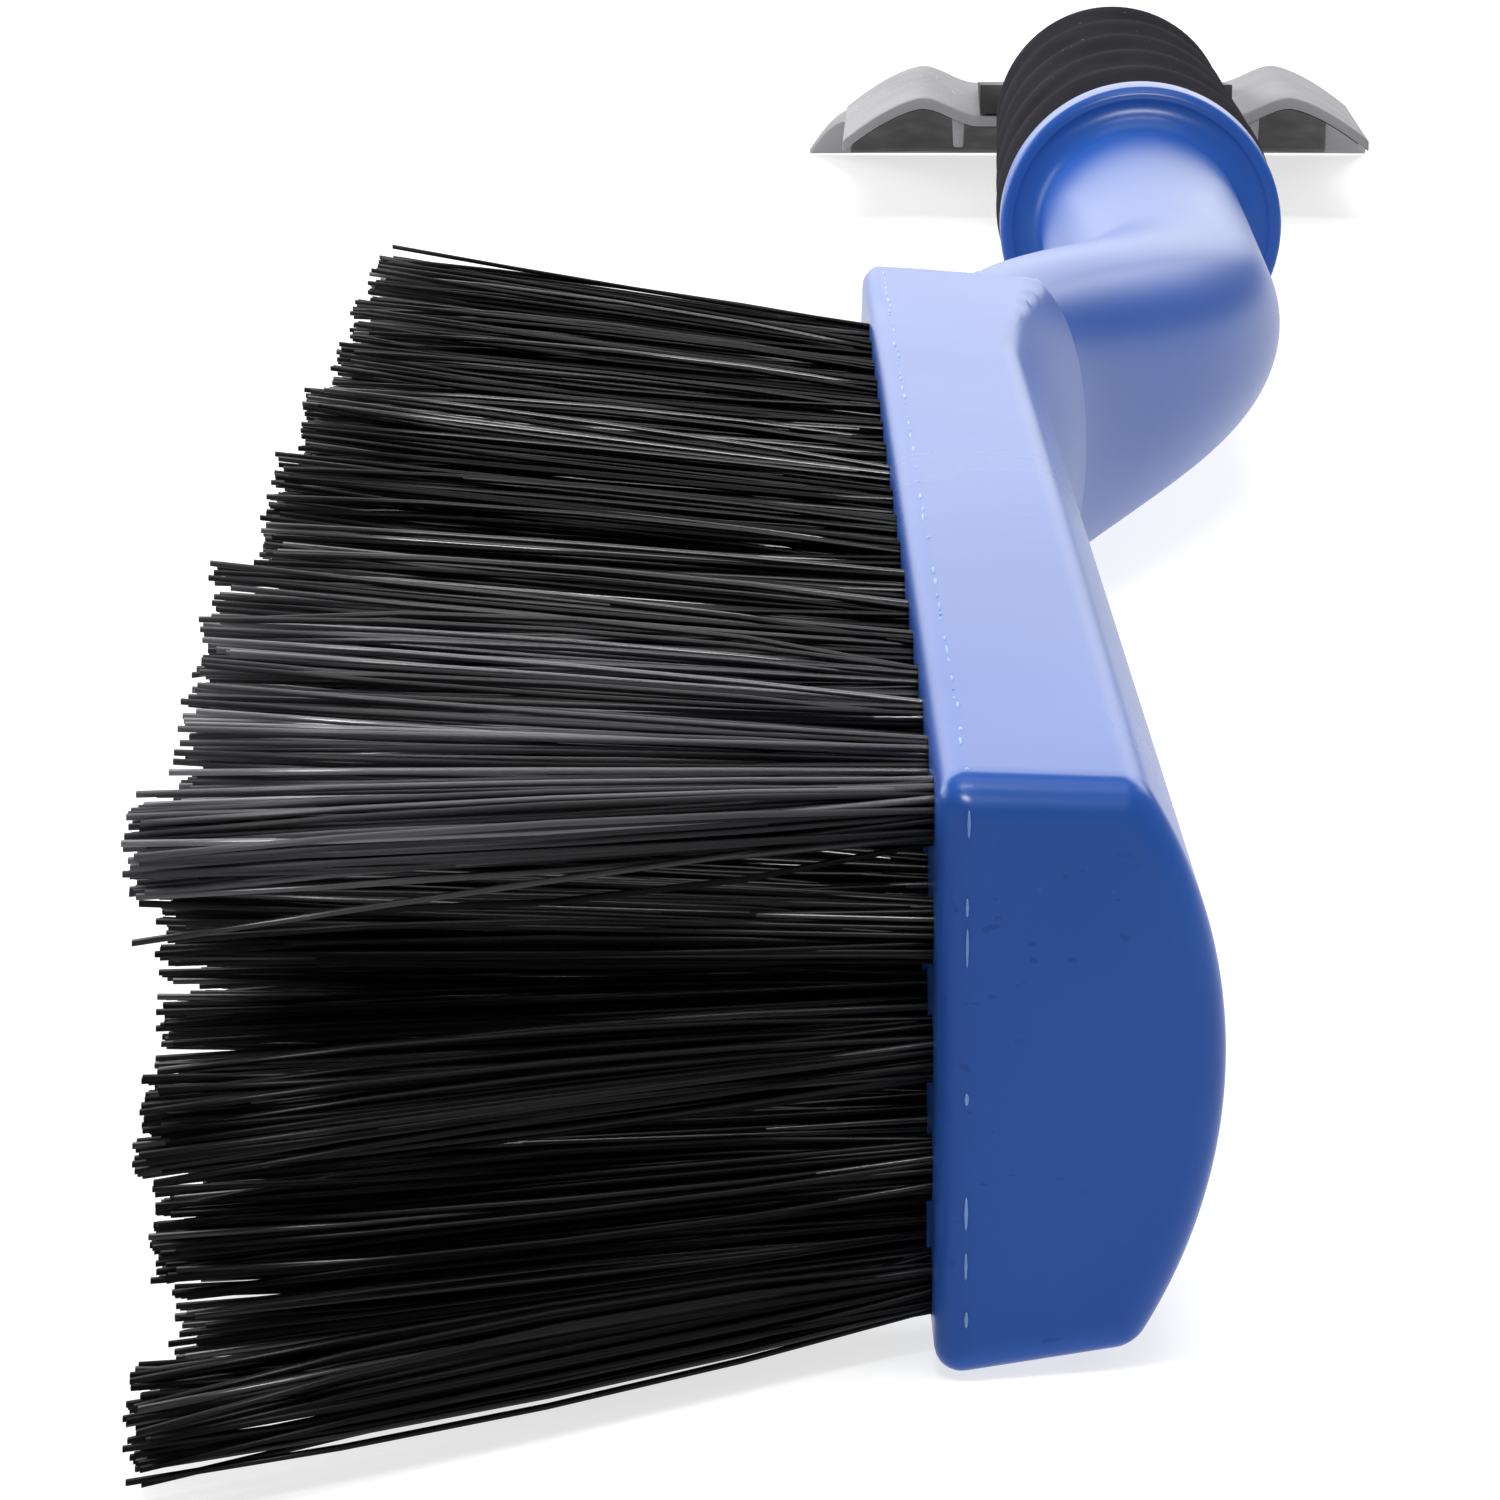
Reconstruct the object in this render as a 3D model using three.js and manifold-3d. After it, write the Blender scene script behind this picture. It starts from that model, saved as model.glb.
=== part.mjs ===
// Snow brush with an ice scraper on the other end of its handle. Millimetres, +Z up.
// The brush lies on its side: +Y runs from the brush end to the scraper, the bristles point to -X,
// and the head, the grip and the scraper's cutting edge rest on the ground.
import * as THREE from "three";
import { mergeVertices } from "three/addons/utils/BufferGeometryUtils.js";
import Module from "manifold-3d";

// Clearances
const FIT_GAP = 0.3; // between pieces that touch
const HOLE_GAP = 0.3; // around a tuft, tube, pin or rivet in its hole
const OVERLAP = 1; // how far joined bodies sink into each other and cutters stand out of what they cut

// Brush head: a D-section block, its flat face carrying the bristles
const HEAD_LENGTH = 206;
const HEAD_WIDTH = 38;
const HEAD_DEPTH = 18; // from the bristle face to the crown of the domed back
const HEAD_SIDE_DEPTH = 12.5; // from the bristle face to where the dome starts
const HEAD_SIDE_DRAFT = 0.9; // each side leans in by this much over its depth
const HEAD_CORNER = 2; // rounding of the bristle face's long edges, larger than HEAD_EDGE_ROUND
const HEAD_EDGE_ROUND = 1.3; // rounding of the end faces
const HEAD_END_LEAN = 0.2; // the near end's back lies this share of its depth behind the face

// Tufts: each solid is a clump that stands for TUFTS_PER_CLUMP neighbouring tufts of one row
const TUFT_ROWS = 5;
const CLUMP_COLUMNS = 9;
const TUFTS_PER_CLUMP = 2;
const TUFT_HOLE = 4.4; // diameter of a tuft's hole
const TUFT_HOLE_DEPTH = 9.5;
const TUFT_LENGTH = 46.8; // from the bristle face to the tips
const TUFT_MARGIN = 3.8; // from the head's sides to the outer rows' centres
const TUFT_NEAR_MARGIN = 3; // from the head's near end to the first root cell
const TUFT_FAR_MARGIN = 20; // from the last root cell to the head's far end
const TUFT_FAR_SPLAY = 22; // how far the far end tufts lean outwards at their tips
const TUFT_NEAR_SPLAYS = [22, 12, 17, 5, 20]; // the same at the near end, from the lowest row up
const TUFT_LIFT = 3.6; // how far the top row leans up at its tips; the bottom row lies on the ground
const CLUMP_CORNER_SHARE = 0.45; // the cut corners of a clump's outline, as a share of its half width

// Handle: its axis starts beside the head's far end and leans away from the head's line
const HANDLE_OFFSET = 33.8; // from the bristle face to the handle's axis
const HANDLE_LEAN = 0.033; // radians
const NECK_OVERLAP = 28; // length of the neck along the head's back
const NECK_LENGTH = 85; // from the head's far end to the round shank
const NECK_ROOT_HEIGHT = 15.5; // half the neck's height where it leaves the head's back
const NECK_HEIGHT = 16; // half the neck's height at the head's far end
const NECK_LIFT = 1.6; // how far the neck's middle lies above the handle's axis at the head's far end
const NECK_INSET = 4.5; // from the bristle face to the neck's inner side at the head's far end
const NECK_EMBED = 1; // how far the neck's sides sink into the head's back at its root
const NECK_SWELL_SHARE = 0.25; // the share of the neck's length over which it grows to NECK_HEIGHT
const NECK_SQUARENESS = 0.4; // how boxy the neck's section is at the head, 0 for an ellipse

// Core tube, inside the shank and the grip
const TUBE_RADIUS = 10.75;
const TUBE_WALL = 1.2;
const TUBE_IN_SHANK = 50; // how deep the tube sits in the shank, from the collar's back

// Shank and collar, moulded in one with the head
const SHANK_WALL = 1.75;
const SHANK_RADIUS = TUBE_RADIUS + FIT_GAP + SHANK_WALL;
const COLLAR_START = 158; // from the head's far end
const COLLAR_HEIGHT = 5.2; // above the shank
const COLLAR_RADIUS = SHANK_RADIUS + COLLAR_HEIGHT;
const COLLAR_THICKNESS = 8;
const COLLAR_ROUND = 1.2;
const COLLAR_FILLET = 2;
const COLLAR_GROOVE_HEIGHT = 2.8; // from the shank to a shallow ring groove in the collar's front face
const COLLAR_GROOVE = 0.2; // the groove's depth and half its width

// Grip: a soft sleeve with gentle swells
const GRIP_LENGTH = 106;
const GRIP_OVER_COLLAR = 0.4; // how much thicker than the collar the grip's front is
const GRIP_TAPER = 1.4; // how much thinner the grip is at its back
const GRIP_SWELL = 0.55; // height of a swell above and below the mean radius
const GRIP_SWELLS = 4.5; // number of swells over the grip's length
const GRIP_ROUND = 2.2;

// Scraper socket: a plug in the tube, a flange, and a forked tongue that holds the blade
const SOCKET_PLUG_LENGTH = 32;
const PLUG_CHAMFER = 1;
const FLANGE_RADIUS = TUBE_RADIUS + 4.75; // close to the grip's back end
const FLANGE_THICKNESS = 4;
const SOCKET_NECK_LENGTH = 14.5;
const SOCKET_NECK_WIDTH = 28;
const TONGUE_WIDTH = 38.4;
const TONGUE_LENGTH = 33;
const TONGUE_BACK_THICKNESS = 4.4;
const TONGUE_TIP_THICKNESS = 1.1;
const LIP_LENGTH = 24;
const LIP_THICKNESS = 2.4;

// Scraper blade: a gull-wing shell that falls to a straight cutting edge
const BLADE_LENGTH = 88;
const BLADE_WIDTH = 94.5; // at the cutting edge
const BLADE_BACK_WIDTH = 80.5;
const BLADE_THICKNESS = 1.7;
const BLADE_EDGE_THICKNESS = 0.9;
const BLADE_EDGE_DROP = 18.9; // from the handle's axis down to the cutting edge
const BLADE_MIDDLE_DROP = 1.7; // from the axis down to the flat middle's top
const BLADE_CREST_RISE = 1; // from the axis up to the two crests
const BLADE_TIP_DROP = 5.6; // from the axis down to the outer corners of the back edge
const BLADE_CREST_AT = 28; // the crests' distance from the middle
const BLADE_FLARE_FROM = 0.5; // the share of its length where the blade starts to widen
const BLADE_FLARE_POWER = 1.2;
const BLADE_WING_POWER = 1.5; // how the wings droop from their crests
const BLADE_BEND = 0.5; // the share of its length where the blade starts to fall
const BLADE_FALL_POWER = 1.5;
const BLADE_STEP = 1.1; // small ledge across the blade where it starts to fall
const BLADE_STEP_RUN = 0.015; // the share of the blade's length that the ledge takes
const BLADE_RIB_AT = 22.5;
const BLADE_RIB_WIDTH = 2;
const BLADE_RIB_DEPTH = 4;
const BLADE_RIB_TAPER = 0.75; // the share of its depth that the rib has lost at its far end
const BLADE_RIB_ROOT = 0.33; // how far the rib sinks into the shell, as a share of its thickness
const BLADE_RIB_LENGTH = 64;

// Fasteners
const RIVET_RADIUS = 1.7;
const RIVET_HEAD_RADIUS = 3.4;
const RIVET_HEAD_HEIGHT = 1.3;
const RIVET_HEAD_CROWN = 0.8; // how far the head's top is drawn in
const RIVET_TAIL_RADIUS = 2.8;
const RIVET_TAIL_CROWN = 0.6;
const RIVET_SPACING = 18;
const RIVET_FROM_BACK = 10; // from the blade's back edge to the rivets
const SOCKET_PIN_RADIUS = 1.5;
const SOCKET_PIN_INSET = 0.1; // from the tube's outside to the pin's ends
const SCREW_RADIUS = 1.5;
const SCREW_HEAD_RADIUS = 3;
const SCREW_HEAD_HEIGHT = 1.6;
const SCREW_HEAD_CROWN = 0.7;
const SCREW_REACH = 4; // how far the screw's tip stands inside the tube
const SCREW_BEFORE_COLLAR = 18;

// Facets
const ROUND_SIDES = 32;
const SMALL_SIDES = 12;
const NECK_RINGS = 16;
const GRIP_RINGS = 22;
const BLADE_COLUMNS = 28;
const BLADE_ROWS = 7; // on each side of the ledge
const RIB_ROWS = 6;
const EDGE_SEGMENTS = 3;
const DOME_SEGMENTS = 8;

const bluePlastic = new THREE.MeshStandardMaterial({ color: 0x2f52a0, roughness: 0.35, metalness: 0 });
const bristleNylon = new THREE.MeshStandardMaterial({ color: 0x141416, roughness: 0.45, metalness: 0 });
const gripRubber = new THREE.MeshStandardMaterial({ color: 0x2e2d33, roughness: 0.8, metalness: 0 });
const socketPlastic = new THREE.MeshStandardMaterial({ color: 0x26262a, roughness: 0.5, metalness: 0 });
const bladePlastic = new THREE.MeshStandardMaterial({ color: 0xb9b9bf, roughness: 0.45, metalness: 0 });
const steel = new THREE.MeshStandardMaterial({ color: 0x9a9da1, roughness: 0.35, metalness: 1 });

const wasm = await Module();
wasm.setup();

const mix = (a, b, t) => a + (b - a) * t;
const smooth = (t) => {
  const c = Math.min(Math.max(t, 0), 1);
  return c * c * (3 - 2 * c);
};

// A closed geometry as a solid that can be joined and cut.
function solidOf(geometry) {
  const bare = geometry.clone();
  bare.deleteAttribute("normal");
  bare.deleteAttribute("uv");
  const merged = mergeVertices(bare, 1e-4);
  const vertProperties = new Float32Array(merged.attributes.position.array);
  const triVerts = new Uint32Array(merged.index.array);
  return new wasm.Manifold(new wasm.Mesh({ numProp: 3, vertProperties, triVerts }));
}

// The geometry of a solid.
function geometryOf(solid) {
  const { vertProperties, triVerts } = solid.getMesh();
  const geometry = new THREE.BufferGeometry();
  geometry.setAttribute("position", new THREE.BufferAttribute(new Float32Array(vertProperties), 3));
  geometry.setIndex(new THREE.BufferAttribute(new Uint32Array(triVerts), 1));
  geometry.computeVertexNormals();
  return geometry;
}

// A closed body through rings of points, every ring with the same number of them.
function loft(rings) {
  const count = rings[0].length;
  const last = (rings.length - 1) * count;
  const index = [];
  for (let r = 0; r + 1 < rings.length; r++) {
    for (let i = 0; i < count; i++) {
      const a = r * count + i;
      const b = r * count + ((i + 1) % count);
      index.push(a, b, a + count, b, b + count, a + count);
    }
  }
  const capFaces = THREE.ShapeUtils.triangulateShape(flatRing(rings[0]), []);
  for (const [a, b, c] of capFaces) {
    index.push(a, c, b);
    index.push(last + a, last + b, last + c);
  }
  const geometry = new THREE.BufferGeometry().setFromPoints(rings.flat());
  geometry.setIndex(index);
  return solidOf(geometry).volume() < 0 ? turnedInsideOut(geometry) : geometry;
}

// A ring's points in its own plane, for its cap's triangles.
function flatRing(ring) {
  const u = ring[1].clone().sub(ring[0]).normalize();
  const middle = ring[Math.floor(ring.length / 2)].clone().sub(ring[0]);
  const v = middle.sub(u.clone().multiplyScalar(middle.dot(u))).normalize();
  return ring.map((p) => new THREE.Vector2(p.clone().sub(ring[0]).dot(u), p.clone().sub(ring[0]).dot(v)));
}

function turnedInsideOut(geometry) {
  const { array } = geometry.index;
  for (let i = 0; i < array.length; i += 3) {
    [array[i + 1], array[i + 2]] = [array[i + 2], array[i + 1]];
  }
  return geometry;
}

// A body of revolution about the Y axis, from [radius, y] pairs.
function turned(profile, sides = ROUND_SIDES) {
  const points = profile.map(([radius, y]) => new THREE.Vector2(radius, y));
  const geometry = new THREE.LatheGeometry(points, sides);
  return solidOf(geometry).volume() < 0 ? turnedInsideOut(geometry) : geometry;
}

// A cylinder between two heights along an axis: "x", "y" or "z".
function rod(axis, radius, from, to, sides = SMALL_SIDES) {
  const geometry = new THREE.CylinderGeometry(radius, radius, to - from, sides);
  geometry.translate(0, (from + to) / 2, 0);
  if (axis === "x") geometry.rotateZ(-Math.PI / 2);
  if (axis === "z") geometry.rotateX(Math.PI / 2);
  return geometry;
}

// A quarter round of [radius, y] pairs from one angle to another, in degrees.
function arc(centreRadius, centreY, size, fromDegrees, toDegrees) {
  const points = [];
  for (let i = 0; i <= EDGE_SEGMENTS; i++) {
    const a = THREE.MathUtils.degToRad(mix(fromDegrees, toDegrees, i / EDGE_SEGMENTS));
    points.push([centreRadius + size * Math.cos(a), centreY + size * Math.sin(a)]);
  }
  return points;
}

// ---- Brush head ----

// The handle's frame: +Y along its axis, its origin beside the head's far end.
const handleFrame = new THREE.Matrix4()
  .makeRotationZ(-HANDLE_LEAN)
  .setPosition(HANDLE_OFFSET, HEAD_LENGTH, HEAD_WIDTH / 2);

const boreEnd = COLLAR_START + COLLAR_THICKNESS;
const boreStart = boreEnd - TUBE_IN_SHANK;
const screwAt = COLLAR_START - SCREW_BEFORE_COLLAR;

// The D outline: x is the depth behind the bristle face, y the height across the head.
function headOutline() {
  const shape = new THREE.Shape();
  const low = HEAD_SIDE_DRAFT;
  const high = HEAD_WIDTH - HEAD_SIDE_DRAFT;
  const half = (high - low) / 2;
  const rise = HEAD_DEPTH - HEAD_SIDE_DEPTH;
  const domeRadius = (half * half + rise * rise) / (2 * rise);
  const domeAngle = Math.asin(half / domeRadius);
  shape.moveTo(0, HEAD_CORNER);
  shape.lineTo(0, HEAD_WIDTH - HEAD_CORNER);
  shape.quadraticCurveTo(0, HEAD_WIDTH, HEAD_CORNER, HEAD_WIDTH);
  shape.lineTo(HEAD_SIDE_DEPTH, high);
  shape.absarc(HEAD_DEPTH - domeRadius, HEAD_WIDTH / 2, domeRadius, domeAngle, -domeAngle, true);
  shape.lineTo(HEAD_CORNER, 0);
  shape.quadraticCurveTo(0, 0, 0, HEAD_CORNER);
  return shape;
}

// The block, extruded along Y, its near end leaning back behind the bristle face.
function headBlock() {
  const geometry = new THREE.ExtrudeGeometry(headOutline(), {
    depth: HEAD_LENGTH - 2 * HEAD_EDGE_ROUND,
    bevelThickness: HEAD_EDGE_ROUND,
    bevelSize: HEAD_EDGE_ROUND,
    bevelOffset: -HEAD_EDGE_ROUND,
    bevelSegments: EDGE_SEGMENTS,
    curveSegments: DOME_SEGMENTS,
  });
  geometry.rotateX(Math.PI / 2);
  geometry.translate(0, HEAD_LENGTH - HEAD_EDGE_ROUND, 0);
  const position = geometry.attributes.position;
  for (let i = 0; i < position.count; i++) {
    const nearness = 1 - position.getY(i) / HEAD_LENGTH;
    position.setY(i, position.getY(i) + HEAD_END_LEAN * position.getX(i) * nearness);
  }
  return geometry;
}

// The neck, in the handle's frame: it leaves the head's back and sweeps into the round shank.
function neck() {
  const rootX = HEAD_DEPTH - HANDLE_OFFSET - NECK_EMBED;
  const innerX = NECK_INSET - HANDLE_OFFSET;
  const rings = [];
  for (let r = 0; r <= NECK_RINGS; r++) {
    const t = r / NECK_RINGS;
    const y = mix(-NECK_OVERLAP, NECK_LENGTH, t);
    const narrowing = smooth(y / NECK_LENGTH);
    const outer = mix(rootX, SHANK_RADIUS, smooth(t));
    const inner = mix(innerX, -SHANK_RADIUS, narrowing);
    const rising = mix(NECK_ROOT_HEIGHT, NECK_HEIGHT, smooth(t / NECK_SWELL_SHARE));
    rings.push(neckRing({
      x: (outer + inner) / 2,
      y,
      z: mix(NECK_LIFT, 0, narrowing),
      halfWidth: (outer - inner) / 2,
      halfHeight: mix(rising, SHANK_RADIUS, narrowing),
      squareness: mix(NECK_SQUARENESS, 0, narrowing),
    }));
  }
  return loft(rings);
}

// A ring across the handle's axis: an ellipse, or a boxier oval.
function neckRing({ x, y, z, halfWidth, halfHeight, squareness }) {
  const power = 2 / (2 + squareness);
  const bulge = (value) => Math.sign(value) * Math.abs(value) ** power;
  const ring = [];
  for (let i = 0; i < ROUND_SIDES; i++) {
    const a = (2 * Math.PI * i) / ROUND_SIDES;
    const across = halfWidth * bulge(Math.cos(a));
    const up = halfHeight * bulge(Math.sin(a));
    ring.push(new THREE.Vector3(x + across, y, z + up));
  }
  return ring;
}

// The round shank and the collar that stops the grip, in the handle's frame.
function shankAndCollar() {
  const back = COLLAR_START + COLLAR_THICKNESS;
  const rim = COLLAR_RADIUS - COLLAR_ROUND;
  const groove = SHANK_RADIUS + COLLAR_GROOVE_HEIGHT;
  return turned([
    [0, NECK_LENGTH - OVERLAP],
    [SHANK_RADIUS, NECK_LENGTH - OVERLAP],
    ...arc(SHANK_RADIUS + COLLAR_FILLET, COLLAR_START - COLLAR_FILLET, COLLAR_FILLET, 180, 90),
    [groove - COLLAR_GROOVE, COLLAR_START],
    [groove, COLLAR_START + COLLAR_GROOVE],
    [groove + COLLAR_GROOVE, COLLAR_START],
    ...arc(rim, COLLAR_START + COLLAR_ROUND, COLLAR_ROUND, -90, 0),
    ...arc(rim, back - COLLAR_ROUND, COLLAR_ROUND, 0, 90),
    [0, back],
  ]);
}

function brushHead() {
  const inHandle = (geometry) => solidOf(geometry).transform(handleFrame.elements);
  let body = solidOf(headBlock()).add(inHandle(neck())).add(inHandle(shankAndCollar()));
  const bore = rod("y", TUBE_RADIUS + FIT_GAP, boreStart - FIT_GAP, boreEnd + OVERLAP, ROUND_SIDES);
  body = body.subtract(inHandle(bore));
  const screwHole = rod("z", SCREW_RADIUS + HOLE_GAP, -SHANK_RADIUS - OVERLAP, 0).translate(0, screwAt, 0);
  body = body.subtract(inHandle(screwHole));
  for (const clump of clumps()) {
    body = body.subtract(solidOf(loft([
      clumpRing(clump.root, TUFT_HOLE_DEPTH, 0),
      clumpRing(clump.root, -OVERLAP, 0),
    ])));
  }
  return geometryOf(body);
}

// ---- Tufts ----

// Root and tip cells of every clump: centre and half sizes along Y and Z.
function clumps() {
  const cells = [];
  const pitchY = (HEAD_LENGTH - TUFT_NEAR_MARGIN - TUFT_FAR_MARGIN) / CLUMP_COLUMNS;
  const pitchZ = (HEAD_WIDTH - 2 * TUFT_MARGIN) / (TUFT_ROWS - 1);
  const halfSlot = ((pitchY / TUFTS_PER_CLUMP) * (TUFTS_PER_CLUMP - 1)) / 2 + TUFT_HOLE / 2;
  for (let column = 0; column < CLUMP_COLUMNS; column++) {
    for (let row = 0; row < TUFT_ROWS; row++) {
      const y = TUFT_NEAR_MARGIN + (column + 0.5) * pitchY;
      const z = TUFT_MARGIN + row * pitchZ;
      const nearEdge = splayedY(y - pitchY / 2, row);
      const farEdge = splayedY(y + pitchY / 2, row);
      const lowEdge = splayedZ(z - pitchZ / 2);
      const highEdge = splayedZ(z + pitchZ / 2);
      cells.push({
        name: `tuft_row${row + 1}_${String(column + 1).padStart(2, "0")}`,
        root: { y, z, halfY: halfSlot, halfZ: TUFT_HOLE / 2 },
        tip: {
          y: (nearEdge + farEdge) / 2,
          z: (lowEdge + highEdge) / 2,
          halfY: (farEdge - nearEdge - FIT_GAP) / 2,
          halfZ: (highEdge - lowEdge - FIT_GAP) / 2,
        },
      });
    }
  }
  return cells;
}

// Where a point of the bristle face is carried to at the tips: the end tufts lean out the most.
function splayedY(y, row) {
  const start = TUFT_NEAR_MARGIN;
  const end = HEAD_LENGTH - TUFT_FAR_MARGIN;
  const fromMiddle = (2 * y - start - end) / (end - start);
  const splay = fromMiddle < 0 ? TUFT_NEAR_SPLAYS[row] : TUFT_FAR_SPLAY;
  return y + splay * fromMiddle ** 3;
}

function splayedZ(z) {
  return z * (1 + TUFT_LIFT / HEAD_WIDTH);
}

// A cell's outline with cut corners, at a distance behind the bristle face.
function clumpRing({ y, z, halfY, halfZ }, x, inset) {
  const a = halfY - inset;
  const b = halfZ - inset;
  const corner = Math.min(a, b) * CLUMP_CORNER_SHARE;
  const outline = [
    [a, b - corner], [a - corner, b], [corner - a, b], [-a, b - corner],
    [-a, corner - b], [corner - a, -b], [a - corner, -b], [a, corner - b],
  ];
  return outline.map(([dy, dz]) => new THREE.Vector3(x, y + dy, z + dz));
}

function tuftClump({ root, tip }) {
  return loft([
    clumpRing(root, TUFT_HOLE_DEPTH - FIT_GAP, HOLE_GAP),
    clumpRing(root, 0, HOLE_GAP),
    clumpRing(tip, -TUFT_LENGTH, 0),
  ]);
}

// ---- Grip and its core, in the handle's frame ----

const gripStart = boreEnd + FIT_GAP;
const gripEnd = gripStart + GRIP_LENGTH;
const tubeEnd = gripEnd;

function coreTube() {
  const inner = TUBE_RADIUS - TUBE_WALL;
  const tube = solidOf(turned([
    [TUBE_RADIUS, boreStart],
    [TUBE_RADIUS, tubeEnd],
    [inner, tubeEnd],
    [inner, boreStart],
    [TUBE_RADIUS, boreStart],
  ]));
  const screwHole = rod("z", SCREW_RADIUS + HOLE_GAP, -TUBE_RADIUS - OVERLAP, 0).translate(0, screwAt, 0);
  const pinHole = rod("x", SOCKET_PIN_RADIUS + HOLE_GAP, -TUBE_RADIUS - OVERLAP, TUBE_RADIUS + OVERLAP);
  pinHole.translate(0, tubeEnd - SOCKET_PLUG_LENGTH / 2, 0);
  return geometryOf(tube.subtract(solidOf(screwHole)).subtract(solidOf(pinHole)));
}

function gripSleeve() {
  const bore = TUBE_RADIUS + FIT_GAP;
  const front = COLLAR_RADIUS + GRIP_OVER_COLLAR;
  const outline = [];
  for (let i = 0; i <= GRIP_RINGS; i++) {
    const t = i / GRIP_RINGS;
    const y = mix(gripStart + GRIP_ROUND, gripEnd - GRIP_ROUND, t);
    const swell = GRIP_SWELL * Math.cos(2 * Math.PI * GRIP_SWELLS * t + Math.PI);
    outline.push([front - GRIP_TAPER * t - GRIP_SWELL + swell, y]);
  }
  const frontRadius = outline[0][0] - GRIP_ROUND;
  const backRadius = outline[GRIP_RINGS][0] - GRIP_ROUND;
  return turned([
    [bore, gripStart],
    ...arc(frontRadius, gripStart + GRIP_ROUND, GRIP_ROUND, -90, 0).slice(0, -1),
    ...outline,
    ...arc(backRadius, gripEnd - GRIP_ROUND, GRIP_ROUND, 0, 90).slice(1),
    [bore, gripEnd],
    [bore, gripStart],
  ]);
}

// ---- Scraper, in the handle's frame ----

const flangeStart = gripEnd + FIT_GAP;
const neckStart = flangeStart + FLANGE_THICKNESS;
const bladeBack = neckStart + SOCKET_NECK_LENGTH;
const rivetAt = bladeBack + RIVET_FROM_BACK;
const tongueBottom = -BLADE_MIDDLE_DROP + FIT_GAP;
const lipTop = -BLADE_MIDDLE_DROP - BLADE_THICKNESS - FIT_GAP;
const lipBottom = lipTop - LIP_THICKNESS;
const rivetSeat = tongueBottom + TONGUE_TIP_THICKNESS;

// A slab of constant width across the handle, from its [y, z] outline seen from the side.
function slab(outline, width) {
  const shape = new THREE.Shape(outline.map(([y, z]) => new THREE.Vector2(y, z)));
  const geometry = new THREE.ExtrudeGeometry(shape, { depth: width, bevelEnabled: false });
  geometry.applyMatrix4(new THREE.Matrix4().set(0, 0, 1, -width / 2, 1, 0, 0, 0, 0, 1, 0, 0, 0, 0, 0, 1));
  return geometry;
}

function rivetPlaces() {
  return [-RIVET_SPACING / 2, RIVET_SPACING / 2];
}

function withRivetHoles(solid) {
  let cut = solid;
  for (const x of rivetPlaces()) {
    const hole = rod("z", RIVET_RADIUS + HOLE_GAP, -SHANK_RADIUS, SHANK_RADIUS).translate(x, rivetAt, 0);
    cut = cut.subtract(solidOf(hole));
  }
  return cut;
}

function scraperSocket() {
  const plugRadius = TUBE_RADIUS - TUBE_WALL - FIT_GAP;
  const plugStart = tubeEnd - SOCKET_PLUG_LENGTH;
  const neckTop = tongueBottom + TONGUE_BACK_THICKNESS;
  const tongueEnd = bladeBack + TONGUE_LENGTH;
  const plug = turned([
    [0, plugStart],
    [plugRadius - PLUG_CHAMFER, plugStart],
    [plugRadius, plugStart + PLUG_CHAMFER],
    [plugRadius, flangeStart],
    [FLANGE_RADIUS - PLUG_CHAMFER, flangeStart],
    [FLANGE_RADIUS, flangeStart + PLUG_CHAMFER],
    [FLANGE_RADIUS, neckStart - PLUG_CHAMFER],
    [FLANGE_RADIUS - PLUG_CHAMFER, neckStart],
    [0, neckStart],
  ]);
  const tongue = slab([
    [bladeBack, tongueBottom],
    [tongueEnd, tongueBottom],
    [tongueEnd, tongueBottom + TONGUE_TIP_THICKNESS],
    [bladeBack, neckTop],
  ], TONGUE_WIDTH);
  const fork = slab([
    [neckStart - OVERLAP, lipBottom],
    [bladeBack + LIP_LENGTH, lipBottom],
    [bladeBack + LIP_LENGTH, lipTop],
    [bladeBack - FIT_GAP, lipTop],
    [bladeBack - FIT_GAP, tongueBottom],
    [bladeBack + OVERLAP, tongueBottom],
    [bladeBack + OVERLAP, neckTop],
    [neckStart - OVERLAP, neckTop],
  ], SOCKET_NECK_WIDTH);
  let body = solidOf(plug).add(solidOf(tongue)).add(solidOf(fork));
  body = withRivetHoles(body);
  for (const x of rivetPlaces()) {
    const seat = rod("z", RIVET_HEAD_RADIUS + HOLE_GAP, rivetSeat, SHANK_RADIUS).translate(x, rivetAt, 0);
    body = body.subtract(solidOf(seat));
  }
  const pinHole = rod("x", SOCKET_PIN_RADIUS + HOLE_GAP, -TUBE_RADIUS, TUBE_RADIUS);
  pinHole.translate(0, tubeEnd - SOCKET_PLUG_LENGTH / 2, 0);
  return geometryOf(body.subtract(solidOf(pinHole)));
}

// Half the blade's width at a share of its length.
function bladeHalfWidth(along) {
  const flare = Math.max(0, (along - BLADE_FLARE_FROM) / (1 - BLADE_FLARE_FROM)) ** BLADE_FLARE_POWER;
  return mix(BLADE_BACK_WIDTH, BLADE_WIDTH, flare) / 2;
}

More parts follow.
